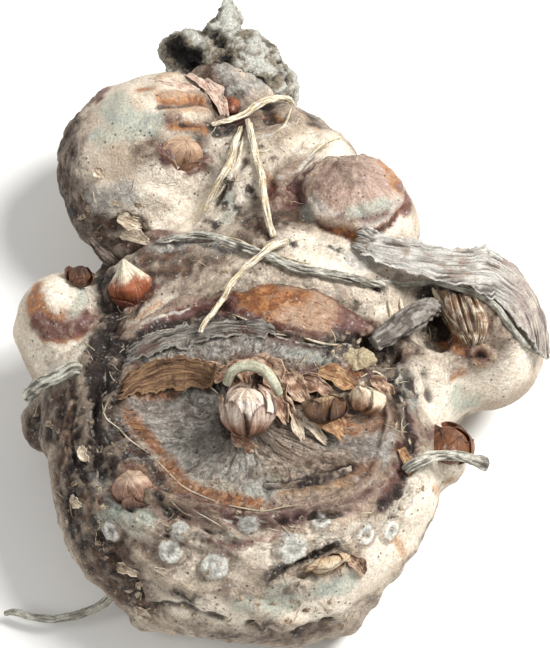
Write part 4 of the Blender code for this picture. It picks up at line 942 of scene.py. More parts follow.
def capTint(r, skin, tone, small, inside):
    # the plate on the right globe: pinkish fibres fanning out, dark red and orange patches at its ends
    out, turn = r.value("capOut"), r.value("capTurn")
    lattice = r.joined(r.math("MULTIPLY", turn, 9.0), r.math("MULTIPLY", out, 0.16), 0.0)
    fan = r.noise(1.0, 5.0, 0.65, 0.3, lattice)
    edge = r.math("ADD", out, r.math("MULTIPLY_ADD", small, 3.0, -1.5))
    share = r.between(edge, 10.6, 9.4)
    plateTone = r.mix(r.between(fan, 0.4, 0.6), tone["pink"], tone["rose"])
    plateTone = r.mix(r.between(fan, 0.55, 0.68, 0.0, 0.7), plateTone, tone["brown"])
    skin = inside(skin, share, 0.85, plateTone)
    wander = r.math("MULTIPLY_ADD", small, 1.6, -0.8)
    right = r.between(r.math("ADD", r.math("ABSOLUTE", turn), wander), 0.75, 0.35)
    skin = inside(skin, r.math("MULTIPLY", right, r.math("MULTIPLY", share, r.between(out, 6.4, 8.0))), 0.8,
                  tone["orange"])
    pale = r.math("MULTIPLY", r.between(edge, 7.2, 8.0), r.between(edge, 10.0, 9.4))
    skin = inside(skin, r.math("MULTIPLY", pale, r.value("capFront")), 0.7, tone["paleGrey"])
    rim = r.math("MULTIPLY", r.between(edge, 9.6, 10.4), r.between(edge, 12.0, 11.0))
    skin = inside(skin, rim, r.between(r.value("capFront"), 0.0, 0.6), tone["redBrown"])
    knob = r.between(out, 3.2, 1.4)
    return inside(skin, knob, r.between(small, 0.4, 0.6, 0.3, 0.9), tone["dark"])


def warped(r, amount):
    # the place pushed about by small noise, so that cell edges wander
    node = r.tree.nodes.new("ShaderNodeTexNoise")
    r.put(node.inputs["Vector"], r.place)
    node.inputs["Scale"].default_value = 0.6
    shift = r.tree.nodes.new("ShaderNodeVectorMath")
    shift.operation = "MULTIPLY_ADD"
    r.put(shift.inputs[0], node.outputs["Color"])
    shift.inputs[1].default_value = (amount * 2, amount * 2, amount * 2)
    r.put(shift.inputs[2], r.place)
    return shift.outputs["Vector"]


# the flesh

tuber = {"voxel": 0.6, "rounds": 2}


def pulled(points, field, rounds):
    # slide points along the field's slope until they lie on its zero surface
    reach = 0.15
    for _ in range(rounds):
        slope = np.empty_like(points)
        for axis in range(3):
            offset = np.eye(3)[axis] * reach
            slope[:, axis] = (field(points + offset) - field(points - offset)) / (2 * reach)
        size = np.maximum((slope ** 2).sum(axis=1), 0.3)
        move = (field(points) / size)[:, None] * slope
        length = np.linalg.norm(move, axis=1, keepdims=True)
        points = points - move * np.minimum(1.0, 0.6 / np.maximum(length, 1e-9))
    return points


def rugged(p, size, seed):
    # ridged noise of three sizes, each turned against the last, from about -1 to 1
    total = np.zeros(len(p))
    for level, share in enumerate((0.55, 0.3, 0.15)):
        q = p @ turned((31 * level, 17 * level, 53 * level))
        total += share * (1.9 * creases(q, size / 2 ** level, seed + level) - 1)
    return total


# raised and sunken lines of the flesh: height, width in mm and places of the photo
lines = [
    (1.1, 1.0, [(345, 130), (322, 142), (305, 158), (292, 172), (280, 182)]),
    (0.8, 0.8, [(205, 152), (228, 150), (250, 142), (270, 138), (288, 128), (292, 104)]),
    (0.6, 0.8, [(290, 100), (304, 98), (320, 106), (332, 120)]), (-1.1, 1.8, [(266, 104), (270, 122)]),
    (-0.8, 1.6, [(304, 108), (314, 122)]), (-0.9, 1.2, [(124, 350), (150, 334), (186, 316), (222, 306)]),
    (0.8, 1.0, [(130, 338), (158, 318), (192, 300), (224, 292)]),
    (-1.0, 1.1, [(112, 330), (118, 300), (122, 276)]),
    (-0.9, 1.2, [(104, 346), (100, 372), (96, 400), (100, 440)]),
    (0.9, 1.3, [(88, 360), (84, 400), (84, 450)]),
    (-0.8, 1.2, [(168, 250), (200, 238), (230, 236), (260, 246)]),
    (0.7, 0.9, [(172, 500), (200, 516), (230, 534), (262, 536)]),
    (-0.8, 0.9, [(180, 512), (206, 528), (236, 544)]), (-0.9, 1.0, [(284, 520), (318, 516), (352, 510)]),
    (0.8, 1.0, [(300, 530), (340, 524), (376, 512)]),
    (-1.0, 1.0, [(378, 512), (396, 494), (408, 468), (410, 440)]),
    (-0.9, 1.0, [(112, 556), (130, 574), (142, 596)]), (0.8, 1.2, [(140, 556), (170, 580), (200, 590)]),
    (-0.8, 1.0, [(150, 604), (186, 606), (222, 620)]), (0.7, 1.2, [(240, 606), (262, 616), (300, 620)]),
    (-0.8, 1.0, [(250, 624), (284, 634), (330, 620)]),
    (-0.7, 0.8, [(216, 204), (222, 190), (240, 172), (246, 160)]),
    (-0.7, 0.8, [(412, 352), (424, 372), (430, 400)]), (-0.6, 0.7, [(302, 404), (290, 396), (292, 414)]),
    (0.9, 1.6, [(152, 96), (166, 78), (186, 82), (200, 92)]),
    (-0.8, 0.8, [(160, 106), (180, 106), (202, 104)]), (0.7, 1.2, [(170, 114), (190, 113), (206, 116)]),
    (-0.6, 0.7, [(164, 124), (190, 124), (206, 126)]), (0.9, 1.3, [(168, 98), (184, 96), (200, 98)]),
    (0.7, 0.6, [(162, 134), (178, 137), (192, 142)]), (-0.7, 0.6, [(164, 144), (156, 156), (164, 168)]),
    (0.9, 0.5, [(112, 214), (128, 208), (146, 216), (152, 228)]),
    (0.9, 0.5, [(112, 234), (130, 228), (150, 238)]), (-0.9, 0.6, [(116, 220), (134, 222), (148, 232)]),
    (0.8, 0.5, [(376, 262), (396, 262), (420, 268)]), (-0.9, 1.0, [(432, 296), (438, 316), (446, 334)]),
    (0.9, 0.7, [(446, 294), (458, 312), (470, 330)]), (-0.8, 0.8, [(454, 296), (468, 314), (476, 332)]),
    (-1.6, 1.1, [(480, 355), (483, 357)]),
    (0.8, 0.7, [(473, 352), (478, 347), (486, 349), (490, 357), (484, 364), (475, 362)]),
    (1.0, 1.0, [(396, 296), (392, 312), (386, 326)]), (0.9, 0.8, [(408, 294), (404, 310), (398, 324)]),
    (-1.0, 0.9, [(282, 572), (304, 562), (330, 549)]),
]


def lineRelief(p):
    total = np.zeros(len(p))
    for height, width, places in lines:
        spots = np.array([skinSpot(px, py) for px, py in places])
        near = np.all((p > spots.min(axis=0) - 4) & (p < spots.max(axis=0) + 4), axis=1)
        away = lineDistance(p[near], spots) + 0.5 * cloud(p[near], 1.6, 51)
        total[near] += height * bell(away, 0, width)
    return total


def calmness(p):
    # 1 on the smooth young globes, 0 on the worn old skin
    globes = (("left_globe", 1.0), ("right_globe", 0.7), ("far_right", 0.9), ("left_offset", 1.0))
    share = 1.3 * ease(strokeField(p, marks["cream"]), -2.5, 1.0)
    for name, most in globes:
        centre, half, angles, _ = lobes[name]
        share = np.maximum(share, most * ease(ellipsoid(p, centre, half, angles), 2.4, 0.8))
    # the brown and black marks count as rough: dirt and crust, and the gaps and hollows whose shade they
    # paint
    dirtAndShadeMarks = ease(strokeField(p, marks["brown"] + marks["black"]), -4.0, -1.0)
    return np.clip(share - dirtAndShadeMarks, 0, 1)


def crustShare(p):
    # how crusty the skin is: the dark marks, and more weakly the brown ones
    dark = strokeField(p, marks["black"] + marks["purple"])
    brown = strokeField(p, marks["brown"])
    return np.maximum(ease(dark, -2.0, 0.6), 0.75 * ease(brown, -3.0, 1.0))


def roughness(p):
    # fine relief in mm: crumbly in the crust, creased on the tan skin, quiet on the smooth young parts
    crust = crustShare(p)
    rougher = 1 - 0.85 * calmness(p)
    worn = 0.55 * rugged(p, 3.6, 21) + 0.12 * cloud(p, 1.2, 24)
    crumbs = 0.75 * rugged(p, 2.4, 31) + 0.3 * cloud(p, 0.95, 34)
    ringed = np.zeros(len(p))
    for centre, radius, height in rootScars:
        away = np.linalg.norm(p - np.array(centre), axis=-1)
        ringed += 0.35 * bell(away, 0.62 * radius, 0.35) - 0.6 * bell(away, 0.0, 0.5)
        ringed -= 0.45 * bell(away, 1.1 * radius, 0.45) + 0.45 * height * ease(away, radius, 0.55 * radius)
    knob = p - np.array(cap["knob"])
    away = np.linalg.norm(p - np.array(cap["centre"]), axis=-1)
    bearing = np.arctan2(knob[:, 1], knob[:, 0])
    bearing = bearing + 0.5 * cloud(p, 5.0, 54)
    spokes = np.column_stack([np.cos(bearing) * 5, np.sin(bearing) * 5, away * 0.35])
    fan = ease(away, 10.4, 9.0) * (0.7 * (creases(spokes, 1.0, 52) - 0.6) + 0.45 * rugged(p, 3.4, 53))
    fan += 0.45 * bell(away + cloud(p, 3.0, 55), 9.9, 0.5)
    return worn * rougher * (1 - 0.5 * crust) + crumbs * crust * rougher + ringed + fan + lineRelief(p)


plate = {"rings": 122, "spokes": 520, "reach": 1.38, "backReach": 1.03, "sink": 1.0}


def plateReach(bearing):
    # how far out the fine plate of the crown goes: less at the back, where the oval scar lies
    return plate["reach"] - (plate["reach"] - plate["backReach"]) * ease(np.sin(bearing), 0.2, 0.75)


def underPlate(p):
    # share by which the flesh gives way below the fine plate
    x = (p[:, 0] - crown["centre"][0]) / crown["half"][0]
    y = (p[:, 1] - crown["centre"][1]) / crown["half"][1]
    out = np.hypot(x, y) / plateReach(np.arctan2(y, x))
    return ease(out, 0.97, 0.9) * (p[:, 2] > 18)


def fineCopy(node, voxel, smooth=0):
    # a merged copy of a CAD node's mesh rebuilt on a fine even grid
    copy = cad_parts[node].data.copy()
    shape = bmesh.new()
    shape.from_mesh(copy)
    bmesh.ops.remove_doubles(shape, verts=shape.verts, dist=2e-6)
    shape.to_mesh(copy)
    shape.free()
    made = linked("spare", copy)
    step = made.modifiers.new("remesh", "REMESH")
    step.mode = "VOXEL"
    step.voxel_size = voxel * mm
    if smooth:
        step = made.modifiers.new("smooth", "SMOOTH")
        step.factor = 0.5
        step.iterations = smooth
    bpy.context.view_layer.update()
    graph = bpy.context.evaluated_depsgraph_get()
    mesh = bpy.data.meshes.new_from_object(made.evaluated_get(graph))
    bpy.data.objects.remove(made, do_unlink=True)
    return mesh


def finishCopy(name, mesh, material, node):
    # the fine mesh as an object of the root body, in place of its CAD node
    mesh.polygons.foreach_set("use_smooth", np.ones(len(mesh.polygons), bool))
    mesh.materials.clear()
    mesh.materials.append(material)
    made = linked(name, mesh)
    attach(made, "root")
    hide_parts(node)
    return made


def makeFlesh(material):
    # the fine copy pulled onto the formula, then roughened along its normals
    mesh = fineCopy("tuber_body", tuber["voxel"])
    points = pulled(pointsOf(mesh), fleshField, tuber["rounds"])
    setPoints(mesh, points)
    relief = roughness(points)
    lift = relief - plate["sink"] * underPlate(points)
    values = paintValues(points, relief)
    points = points + normalsOf(mesh) * lift[:, None]
    points = np.clip(points, np.array(cadLow) / mm, np.array(cadHigh) / mm)
    setPoints(mesh, points)
    addValues(mesh, values)
    print("flesh triangles", sum(len(face.vertices) - 2 for face in mesh.polygons))
    return finishCopy("tuber_skin", mesh, material, "tuber_body")


skinMaterial = fleshMaterial("tuber_skin", False)
tuberSkin = makeFlesh(skinMaterial)
print("flesh made")

# the crown: a fine plate of rings and spokes from its middle out over its rim

pleats = {
    "stripe": [(255, 475), (285, 470), (315, 462), (348, 455)], "valley": [(268, 484), (300, 482),
    (330, 474), (350, 466)], "band": [(280, 500), (315, 498), (340, 492), (354, 482)],
}


def heightsOver(x, y, field, start):
    # the height at which the field is zero above each place, found by stepping down and then by Newton's rule
    z = np.full(len(x), start)
    for _ in range(14):
        z = z - 0.75 * field(np.stack([x, y, z], 1))
    for _ in range(3):
        here = field(np.stack([x, y, z], 1))
        slope = (field(np.stack([x, y, z + 0.1], 1)) - here) / 0.1
        z = z - np.clip(here / np.maximum(slope, 0.35), -0.6, 0.6)
    return z


def plateRelief(p):
    # fibres running out from the middle, pleats at the front right, a papery rim and crusty rings outside it
    out, bearing = crownPlace(p)
    turn = np.stack([np.cos(bearing), np.sin(bearing)], 1)
    curl = 0.22 * cloud(p, 6.0, 47)[:, None]
    spread = np.column_stack([(turn + curl) * 26, out * 5])
    wide = np.column_stack([(turn + curl) * 9, out * 2.5])
    dish = ease(out, 0.12, 0.25) * ease(out, 1.02, 0.9)
    fibres = 0.45 * (creases(spread, 1.0, 41) - 0.6) + 0.75 * (creases(wide, 1.0, 42) - 0.6)
    fibres += 0.35 * rugged(p, 4.5, 48)
    pleated = ease(np.abs(bearing + 0.55), 0.55, 0.2) * ease(out, 0.22, 0.3) * ease(out, 0.66, 0.5)
    grooves = -0.7 * np.maximum(np.cos(bearing * 26), 0) ** 12 * pleated
    near = {key: lineDistance(p, [skinSpot(px, py) for px, py in spots]) for key, spots in pleats.items()}
    folds = 1.4 * bell(near["stripe"], 0, 0.9) - 1.5 * bell(near["valley"], 0, 1.0)
    folds = folds + 0.8 * bell(near["band"], 0, 1.5)
    lip = 0.7 * bell(out, 0.985, 0.014) * (0.6 + 0.5 * cloud(p, 2.5, 44))
    ring = np.column_stack([turn * 9, out * 26])
    crust = ease(out, 1.0, 1.05) * (0.8 * (creases(ring, 1.0, 45) - 0.6))
    inner = 0.25 * cloud(p, 1.1, 46) * ease(out, 0.5, 1.0)
    return fibres * dish + grooves + folds + lip + crust + inner


def makePlate(material):
    bearing = np.linspace(0, 2 * np.pi, plate["spokes"], endpoint=False)[None, :]
    share = np.linspace(0.0, 1.0, plate["rings"])[:, None]
    out = share * plateReach(bearing)
    x = (crown["centre"][0] + crown["half"][0] * out * np.cos(bearing)).ravel()
    y = (crown["centre"][1] + crown["half"][1] * out * np.sin(bearing)).ravel()
    z = heightsOver(x, y, fleshField, 37.0)
    p = np.stack([x, y, z], 1)
    relief = roughness(p) * ease(crownPlace(p)[0], 0.85, 1.1) + plateRelief(p)
    edge = np.broadcast_to(share, (plate["rings"], plate["spokes"])).ravel()
    relief = relief * ease(edge, 0.0, 0.03)
    p[:, 2] += relief - ease(edge, 0.95, 1.0)
    faces = gridFaces(plate["rings"], plate["spokes"], closeColumns=True)
    return newPiece("crown_plate", p, faces, material, (), paintValues(p, relief), True)


crownPlate = makePlate(fleshMaterial("crown_plate", True))
print("crown made")

# buds: a ball drawn out to a tip, wrapped in papery scales

buds = {
    "crown_bud": {
        "base": (1.0, -4.2, 34.0), "axis": (-0.02, -0.12, 1.0), "half": (4.2, 4.2, 8.4), "lean": 58,
        "topFrom": 0.62, "folds": 9, "sharp": 0.45, "turn": 0, "layers": 0.5, "wrap": 4.0, "step": 0.8,
        "crumple": 0.7, "low": (138, 98, 74), "mid": (230, 218, 204), "top": (220, 200, 180),
        "streak": (104, 68, 50), "most": 0.65,
    },
    "amber_bud": {
        "base": (13.4, -3.4, 32.6), "axis": (0.3, 0.25, 1.0), "half": (3.6, 2.4, 5.4), "lean": 50,
        "topFrom": 0.62, "folds": 5, "sharp": 1.0, "turn": 25, "layers": 0.4, "wrap": 3.0, "step": 0.6,
        "crumple": 0.4, "low": (70, 46, 32), "mid": (122, 88, 56), "top": (186, 158, 120),
        "streak": (48, 32, 24), "most": 0.8,
    },
    "pale_bud": {
        "base": (21.6, -0.8, 30.6), "axis": (-0.35, 0.35, 1.0), "half": (3.4, 2.2, 5.6), "lean": 55,
        "topFrom": 0.62, "folds": 5, "sharp": 1.3, "turn": -30, "layers": 0.4, "wrap": 3.0, "step": 0.6,
        "crumple": 0.3, "low": (150, 112, 82), "mid": (228, 208, 180), "top": (236, 222, 196),
        "streak": (124, 88, 64), "most": 0.5,
    },
    "spear_bud": {
        "base": (-19.0, 22.6, 25.4), "axis": (-0.3, 0.8, 0.95), "half": (4.3, 4.0, 9.4), "lean": 8,
        "topFrom": 0.5, "folds": 4, "sharp": 1.7, "turn": 0, "layers": 0.3, "wrap": 2.0, "step": 0.35,
        "crumple": 0.15, "low": (92, 46, 32), "mid": (148, 82, 48), "top": (232, 222, 196),
        "streak": (104, 60, 40), "most": 0.5,
    },
    "globe_bud": {
        "base": (-12.4, 54.0, 27.4), "axis": (0.42, -0.5, 0.95), "half": (4.2, 3.7, 6.4), "lean": 56,
        "topFrom": 0.6, "folds": 6, "sharp": 1.1, "turn": 0, "layers": 0.5, "wrap": 4.0, "step": 0.6,
        "crumple": 0.3, "low": (120, 80, 58), "mid": (180, 146, 118), "top": (192, 162, 134),
        "streak": (108, 68, 48), "most": 0.5,
    },
    "offset_bud": {
        "base": (-29.6, 26.2, 27.6), "axis": (0.25, 0.3, 0.9), "half": (2.2, 2.0, 4.2), "lean": 10,
        "topFrom": 0.62, "folds": 5, "sharp": 0.9, "turn": 0, "layers": 0.4, "wrap": 3.0, "step": 0.4,
        "crumple": 0.3, "low": (128, 84, 52), "mid": (104, 68, 46), "top": (76, 50, 36),
        "streak": (56, 34, 24), "most": 0.7,
    },
    "pocket_bud": {
        "base": (-18.0, -14.8, 28.2), "axis": (-0.12, -0.3, 0.95), "half": (3.5, 3.3, 5.4), "lean": 52,
        "topFrom": 0.6, "folds": 6, "sharp": 1.0, "turn": 0, "layers": 0.5, "wrap": 4.0, "step": 0.65,
        "crumple": 0.35, "low": (80, 52, 42), "mid": (160, 124, 104), "top": (190, 164, 140),
        "streak": (92, 58, 44), "most": 0.55,
    },
    "nub_scale": {
        "base": (35.4, -3.0, 18.4), "axis": (0.2, 0.25, 0.9), "half": (4.2, 4.0, 5.8), "lean": 25,
        "topFrom": 0.62, "folds": 4, "sharp": 0.9, "turn": 0, "layers": 0.3, "wrap": 2.0, "step": 0.5,
        "crumple": 0.2, "low": (92, 54, 32), "mid": (148, 94, 54), "top": (120, 76, 48),
        "streak": (66, 38, 26), "most": 0.7,
    },
    "slit_scale": {
        "base": (14.2, -26.0, 24.0), "axis": (0.15, -0.8, 0.9), "half": (3.6, 1.3, 4.6), "lean": 0,
        "topFrom": 0.62, "folds": 3, "sharp": 0.9, "turn": 20, "layers": 0.3, "wrap": 2.0, "step": 0.4,
        "crumple": 0.2, "low": (128, 92, 62), "mid": (204, 180, 146), "top": (222, 204, 176),
        "streak": (120, 74, 40), "most": 0.6,
    },
}


def budMaterial(name, s):
    # papery scales: three tones from base to tip, streaks running up, painted shade under each scale's edge
    # and in the sunken crumples
    r = Recipe(name, 0.55, 0.4)
    up = r.value("up")
    blot = r.noise(1.6, 4.0, 0.6, 0.4)
    climb = r.math("ADD", up, r.math("MULTIPLY_ADD", blot, 0.5, -0.25))
    skin = r.mix(r.between(climb, 0.12, 0.42), colour(*s["low"]), colour(*s["mid"]))
    skin = r.mix(r.between(climb, s["topFrom"], s["topFrom"] + 0.2), skin, colour(*s["top"]))
    skin = r.mix(r.between(r.value("tint"), 0.55, 1.0, 0.0, 0.55), skin, colour(*s["low"]))
    around = r.joined(r.math("MULTIPLY", r.value("turnX"), 9.0), r.math("MULTIPLY", r.value("turnY"), 9.0),
                      r.math("MULTIPLY", up, 3.0))
    streaks = r.noise(1.0, 5.0, 0.65, 0.4, around)
    skin = r.mix(r.between(streaks, 0.5, 0.66, 0.0, s["most"]), skin, colour(*s["streak"]))
    skin = r.mix(r.between(streaks, 0.44, 0.3, 0.0, 0.4), skin, colour(240, 228, 212))
    # painted shade: sunken parts of the scales and wrinkles darkened
    skin = r.mix(r.between(r.value("deep"), 0.0, -0.4, 0.0, 0.85), skin, colour(60, 36, 26))
    skin = r.mix(r.between(r.value("lip"), 0.88, 0.99, 0.0, 0.7), skin, colour(*s["streak"]))
    return r.grained(skin, 0.4, 0.3, colour(120, 90, 70), streaks, 0.35, 0.12)


def onBud(s, bearing, z, swell, shrink=1.0):
    # a place on the bud's ball; its folds run between poles tipped back by "lean", its form stays where it is
    width = np.sqrt(np.maximum(1 - z * z, 0))
    unit = gridOf(np.cos(bearing) * width, np.sin(bearing) * width, z)
    unit = unit @ turned((-s["lean"], 0, 0)).T
    narrow = (1 - 0.55 * np.maximum(unit[..., 2], 0)) ** s["sharp"] * swell * shrink
    place = np.stack([unit[..., 0] * s["half"][0] * narrow, unit[..., 1] * s["half"][1] * narrow,
                      (0.5 + 0.5 * unit[..., 2] * (0.5 + 0.5 * swell)) * s["half"][2]], -1)
    turn = fromUpright(s["axis"])
    return place.reshape(-1, 3) @ (turn @ turned((0, 0, s["turn"]))).T + np.array(s["base"])


def budSlot(name):
    slots = {"crown_bud": "papery_bud", "amber_bud": "amber_scale", "nub_scale": "amber_scale",
             "pale_bud": "pale_bud_scale", "slit_scale": "pale_bud_scale"}
    return slots.get(name, "bud_skin")


def makeBud(name, s, material):
    rows, columns = 64, 112
    z = -np.cos(np.linspace(0, np.pi, rows))[:, None]
    bearing = np.linspace(0, 2 * np.pi, columns, endpoint=False)[None, :]
    up = 0.5 + 0.5 * z
    width = np.sqrt(np.maximum(1 - z * z, 0))
    fold = 1 + 0.07 * np.sin(s["folds"] * bearing + 2.5 * up) * (1 - z * z)
    spiral = up * s["layers"] + bearing / (2 * np.pi) * s["wrap"]
    spiral = spiral + 0.25 * np.sin(bearing + 1.7) * s["wrap"] / 3
    lip = spiral - np.floor(spiral)
    seed = len(name)
    unit = gridOf(np.cos(bearing) * width, np.sin(bearing) * width, z)
    crumpled = s["crumple"] * rugged((unit * 3.2).reshape(-1, 3), 1.6, 60 + seed).reshape(unit.shape[:2])
    fibres = 0.06 * cloud(gridOf(np.cos(bearing) * 14, np.sin(bearing) * 14, up * 5), 1.0, 61)
    deep = 0.5 * s["step"] * (ease(lip, 0.0, 0.9) - 0.75) + crumpled * 0.5
    deep = deep * width ** 0.5
    swell = 1 + (deep + fibres) / np.mean(s["half"][:2])
    points = onBud(s, bearing, z, swell * fold, 0.9)
    values = {"up": up, "lip": lip, "deep": deep,
              "turnX": np.cos(bearing), "turnY": np.sin(bearing), "tint": 0.5}
    values = spreadOver(values, lip.shape)
    faces = gridFaces(rows, columns, closeColumns=True)
    newPiece(name + "_scales", points, faces, material, [name], values, True)


# papery leaves wrapped round each bud: how many, half width in degrees, flare of the edges and of the tips
petals = {
    "crown_bud": {"count": 7, "half": 34, "edge": 0.10, "tip": 0.04, "top": (0.55, 0.98), "wrinkle": 0.34},
    "amber_bud": {"count": 4, "half": 50, "edge": 0.16, "tip": 0.08, "top": (0.7, 0.95), "wrinkle": 0.24},
    "pale_bud": {"count": 4, "half": 44, "edge": 0.14, "tip": 0.10, "top": (0.6, 0.95), "wrinkle": 0.20},
    "spear_bud": {"count": 2, "half": 80, "edge": 0.02, "tip": -0.06, "top": (0.22, 0.4), "wrinkle": 0.10},
    "globe_bud": {"count": 4, "half": 58, "edge": 0.12, "tip": 0.05, "top": (0.35, 0.62), "wrinkle": 0.22},
    "offset_bud": {"count": 4, "half": 55, "edge": 0.12, "tip": 0.1, "top": (0.5, 0.9), "wrinkle": 0.15},
    "pocket_bud": {"count": 4, "half": 60, "edge": 0.16, "tip": 0.08, "top": (0.35, 0.6), "wrinkle": 0.26},
    "nub_scale": {"count": 3, "half": 75, "edge": 0.12, "tip": 0.05, "top": (0.75, 1.0), "wrinkle": 0.16},
    "slit_scale": {"count": 3, "half": 65, "edge": 0.04, "tip": 0.0, "top": (0.7, 1.0), "wrinkle": 0.15},
}


def makePetals(name, s, leaf, material):
    # each leaf follows the bud's surface a little way off, narrowing to a point, its edges flaring outward
    rows, columns = 34, 19
    across = np.linspace(-1, 1, columns)[None, :]
    along = np.linspace(0, 1, rows)[:, None]
    grids = []
    for k in range(leaf["count"]):
        pick = 0.5 + 0.5 * np.sin(12.9898 * (k + 1) + 78.233 * len(name))
        start = 2 * np.pi * (k * 0.382 + 0.13 * pick)
        half = np.radians(leaf["half"]) * (0.75 + 0.5 * pick)
        top = leaf["top"][0] + (leaf["top"][1] - leaf["top"][0]) * (0.5 + 0.5 * np.sin(7.1 * k + len(name)))
        notch = 0.10 * cloud(gridOf(across * 2.2, 0 * along + k, 0 * along), 1.0, 91)
        up = 0.03 + along * (top + notch - 0.03)
        bearing = start + across * half * (1 - along ** 2.4) ** 0.55
        z = np.clip(2 * up - 1, -1, 1)
        lattice = gridOf(np.cos(bearing) * 3.4, np.sin(bearing) * 3.4, up * 1.6 + k)
        wrinkle = leaf["wrinkle"] * (creases(lattice, 1.0, 92) - 0.6 + 0.5 * cloud(lattice * 2.3, 1.0, 93))
        order = -0.02 + 0.10 * (leaf["count"] - k) / leaf["count"]
        grow = 1 + order + leaf["edge"] * np.abs(across) ** 3 * (0.3 + along) + leaf["tip"] * along ** 4
        grow = grow + wrinkle / np.mean(s["half"][:2])
        values = {"up": up, "lip": np.maximum(np.abs(across), along), "deep": wrinkle - 0.1,
                  "turnX": np.cos(bearing), "turnY": np.sin(bearing), "tint": pick}
        grids.append((onBud(s, bearing, z, grow), spreadOver(values, wrinkle.shape)))
    makeSheets(name + "_leaves", grids, rows, columns, material, budSlot(name), 0.12)


for budName, budSettings in buds.items():
    budLook = budMaterial(budName, budSettings)
    makeBud(budName, budSettings, budLook)
    makePetals(budName, budSettings, petals[budName], budLook)
print("buds made")

# cords: dry roots and stems, a furrowed profile carried along a path

cords = {
    "sheath_cord": {
        "path": [(-15.8, 32.9), (-7.7, 33.8), (-1.4, 31.0), (3.9, 28.2), (10.0, 25.4), (18.8, 24.4),
        (25.4, 24.2)], "radii": (0.4, 0.6, 0.75, 0.8, 0.8, 0.75, 0.6), "slot": "dry_fibre", "look": "grey",
        "rough": 0.3,
    },
    "dry_root_top": {
        "path": [(11.0, 72.6), (6.6, 69.6), (2.5, 66.1), (-0.9, 62.1), (-5.9, 58.8)],
        "radii": (0.45, 0.65, 0.75, 0.65, 0.4), "slot": "dry_root", "look": "straw", "rough": 0.16,
    },
    "dry_root_long": {
        "path": [(0.6, 61.0), (1.4, 54.8), (2.9, 46.5), (4.0, 40.0), (5.3, 32.6)],
        "radii": (0.45, 0.65, 0.7, 0.65, 0.6), "slot": "dry_root", "look": "straw", "rough": 0.16,
    },
    "dry_root_left": {
        "path": [(-0.6, 58.4), (-2.4, 51.6), (-4.6, 46.3), (-7.4, 42.0)], "radii": (0.45, 0.6, 0.55, 0.35),
        "slot": "dry_root", "look": "straw", "rough": 0.16,
    },
    "dry_root_front": {
        "path": [(8.0, 31.4), (3.4, 27.6), (-1.3, 21.8), (-4.7, 15.4), (-7.2, 10.6)],
        "radii": (0.75, 0.65, 0.55, 0.5, 0.4), "slot": "dry_root", "look": "straw", "rough": 0.16,
    },
    "right_root_stub": {
        "path": [(27.6, -11.2), (30.4, -9.6), (34.0, -7.8), (37.6, -6.9), (40.3, -7.0), (42.6, -7.1)],
        "radii": (0.9, 1.0, 0.95, 0.85, 1.0, 1.35), "slot": "dry_root", "look": "grey", "rough": 0.22,
    },
    "left_root_stub": {
        "path": [(-28.4, 7.7), (-31.6, 6.8), (-34.8, 6.7), (-37.8, 7.0)], "radii": (1.2, 1.25, 1.3, 1.5),
        "slot": "dry_root", "look": "green", "rough": 0.3,
    },
    "hooked_root": {
        "path": [(-20.0, -21.0, 8.4), (-22.1, -23.6, 7.0), (-23.9, -25.4, 5.6), (-26.8, -26.9, 4.8),
        (-30.3, -27.8, 4.2), (-33.8, -28.1, 3.8), (-37.4, -27.4, 3.4), (-40.1, -26.4, 3.0),
        (-42.1, -26.6, 2.7)], "radii": (1.0, 0.95, 0.85, 0.8, 0.75, 0.7, 0.65, 0.6, 0.4),
        "slot": "dry_root", "look": "grey", "rough": 0.12,
    },
    "crown_shoot": {
        "path": [(-2.6, 0.4, 37.4), (-1.6, 1.6, 39.6), (0.8, 2.3, 40.6), (3.6, 1.7, 40.3), (5.4, 0.0, 39.2),
        (6.4, -1.6, 37.4)], "radii": (0.8, 0.9, 0.95, 0.95, 0.9, 0.7), "slot": "green_stem",
        "look": "shoot", "rough": 0.05,
    },
    "sheath_stump": {
        "path": [(34.0, 22.6, 26.0), (31.4, 19.8, 28.2), (28.4, 17.2, 29.4), (25.4, 14.4, 30.2),
        (22.6, 12.2, 30.6)], "radii": (1.7, 2.1, 2.2, 1.9, 1.3), "slot": "dry_fibre", "look": "stump",
        "rough": 0.5,
    },
    "throat_spike": {
        "path": [(-23.0, 35.2, 18.0), (-24.8, 35.4, 21.0), (-26.4, 36.2, 23.0), (-28.0, 37.6, 24.6)],
        "radii": (1.3, 1.1, 0.75, 0.35), "slot": "dry_fibre", "look": "dark", "rough": 0.2,
    },
}
# base, pale, dark tones and how strong the dark streaks and the painted shade in the furrows are
cordLooks = {
    "straw": {"base": (214, 196, 162), "pale": (240, 230, 206), "dark": (84, 62, 44), "most": 0.85},
    "grey": {"base": (150, 146, 132), "pale": (206, 202, 188), "dark": (54, 46, 40), "most": 0.85},
    "green": {"base": (180, 176, 160), "pale": (214, 212, 198), "dark": (60, 54, 44), "most": 0.8},
    "shoot": {"base": (166, 164, 142), "pale": (200, 198, 176), "dark": (110, 96, 68), "most": 0.5},
    "stump": {"base": (118, 111, 102), "pale": (158, 152, 143), "dark": (60, 51, 45), "most": 0.7},
    "dark": {"base": (74, 60, 54), "pale": (130, 116, 104), "dark": (26, 20, 18), "most": 0.8},
}


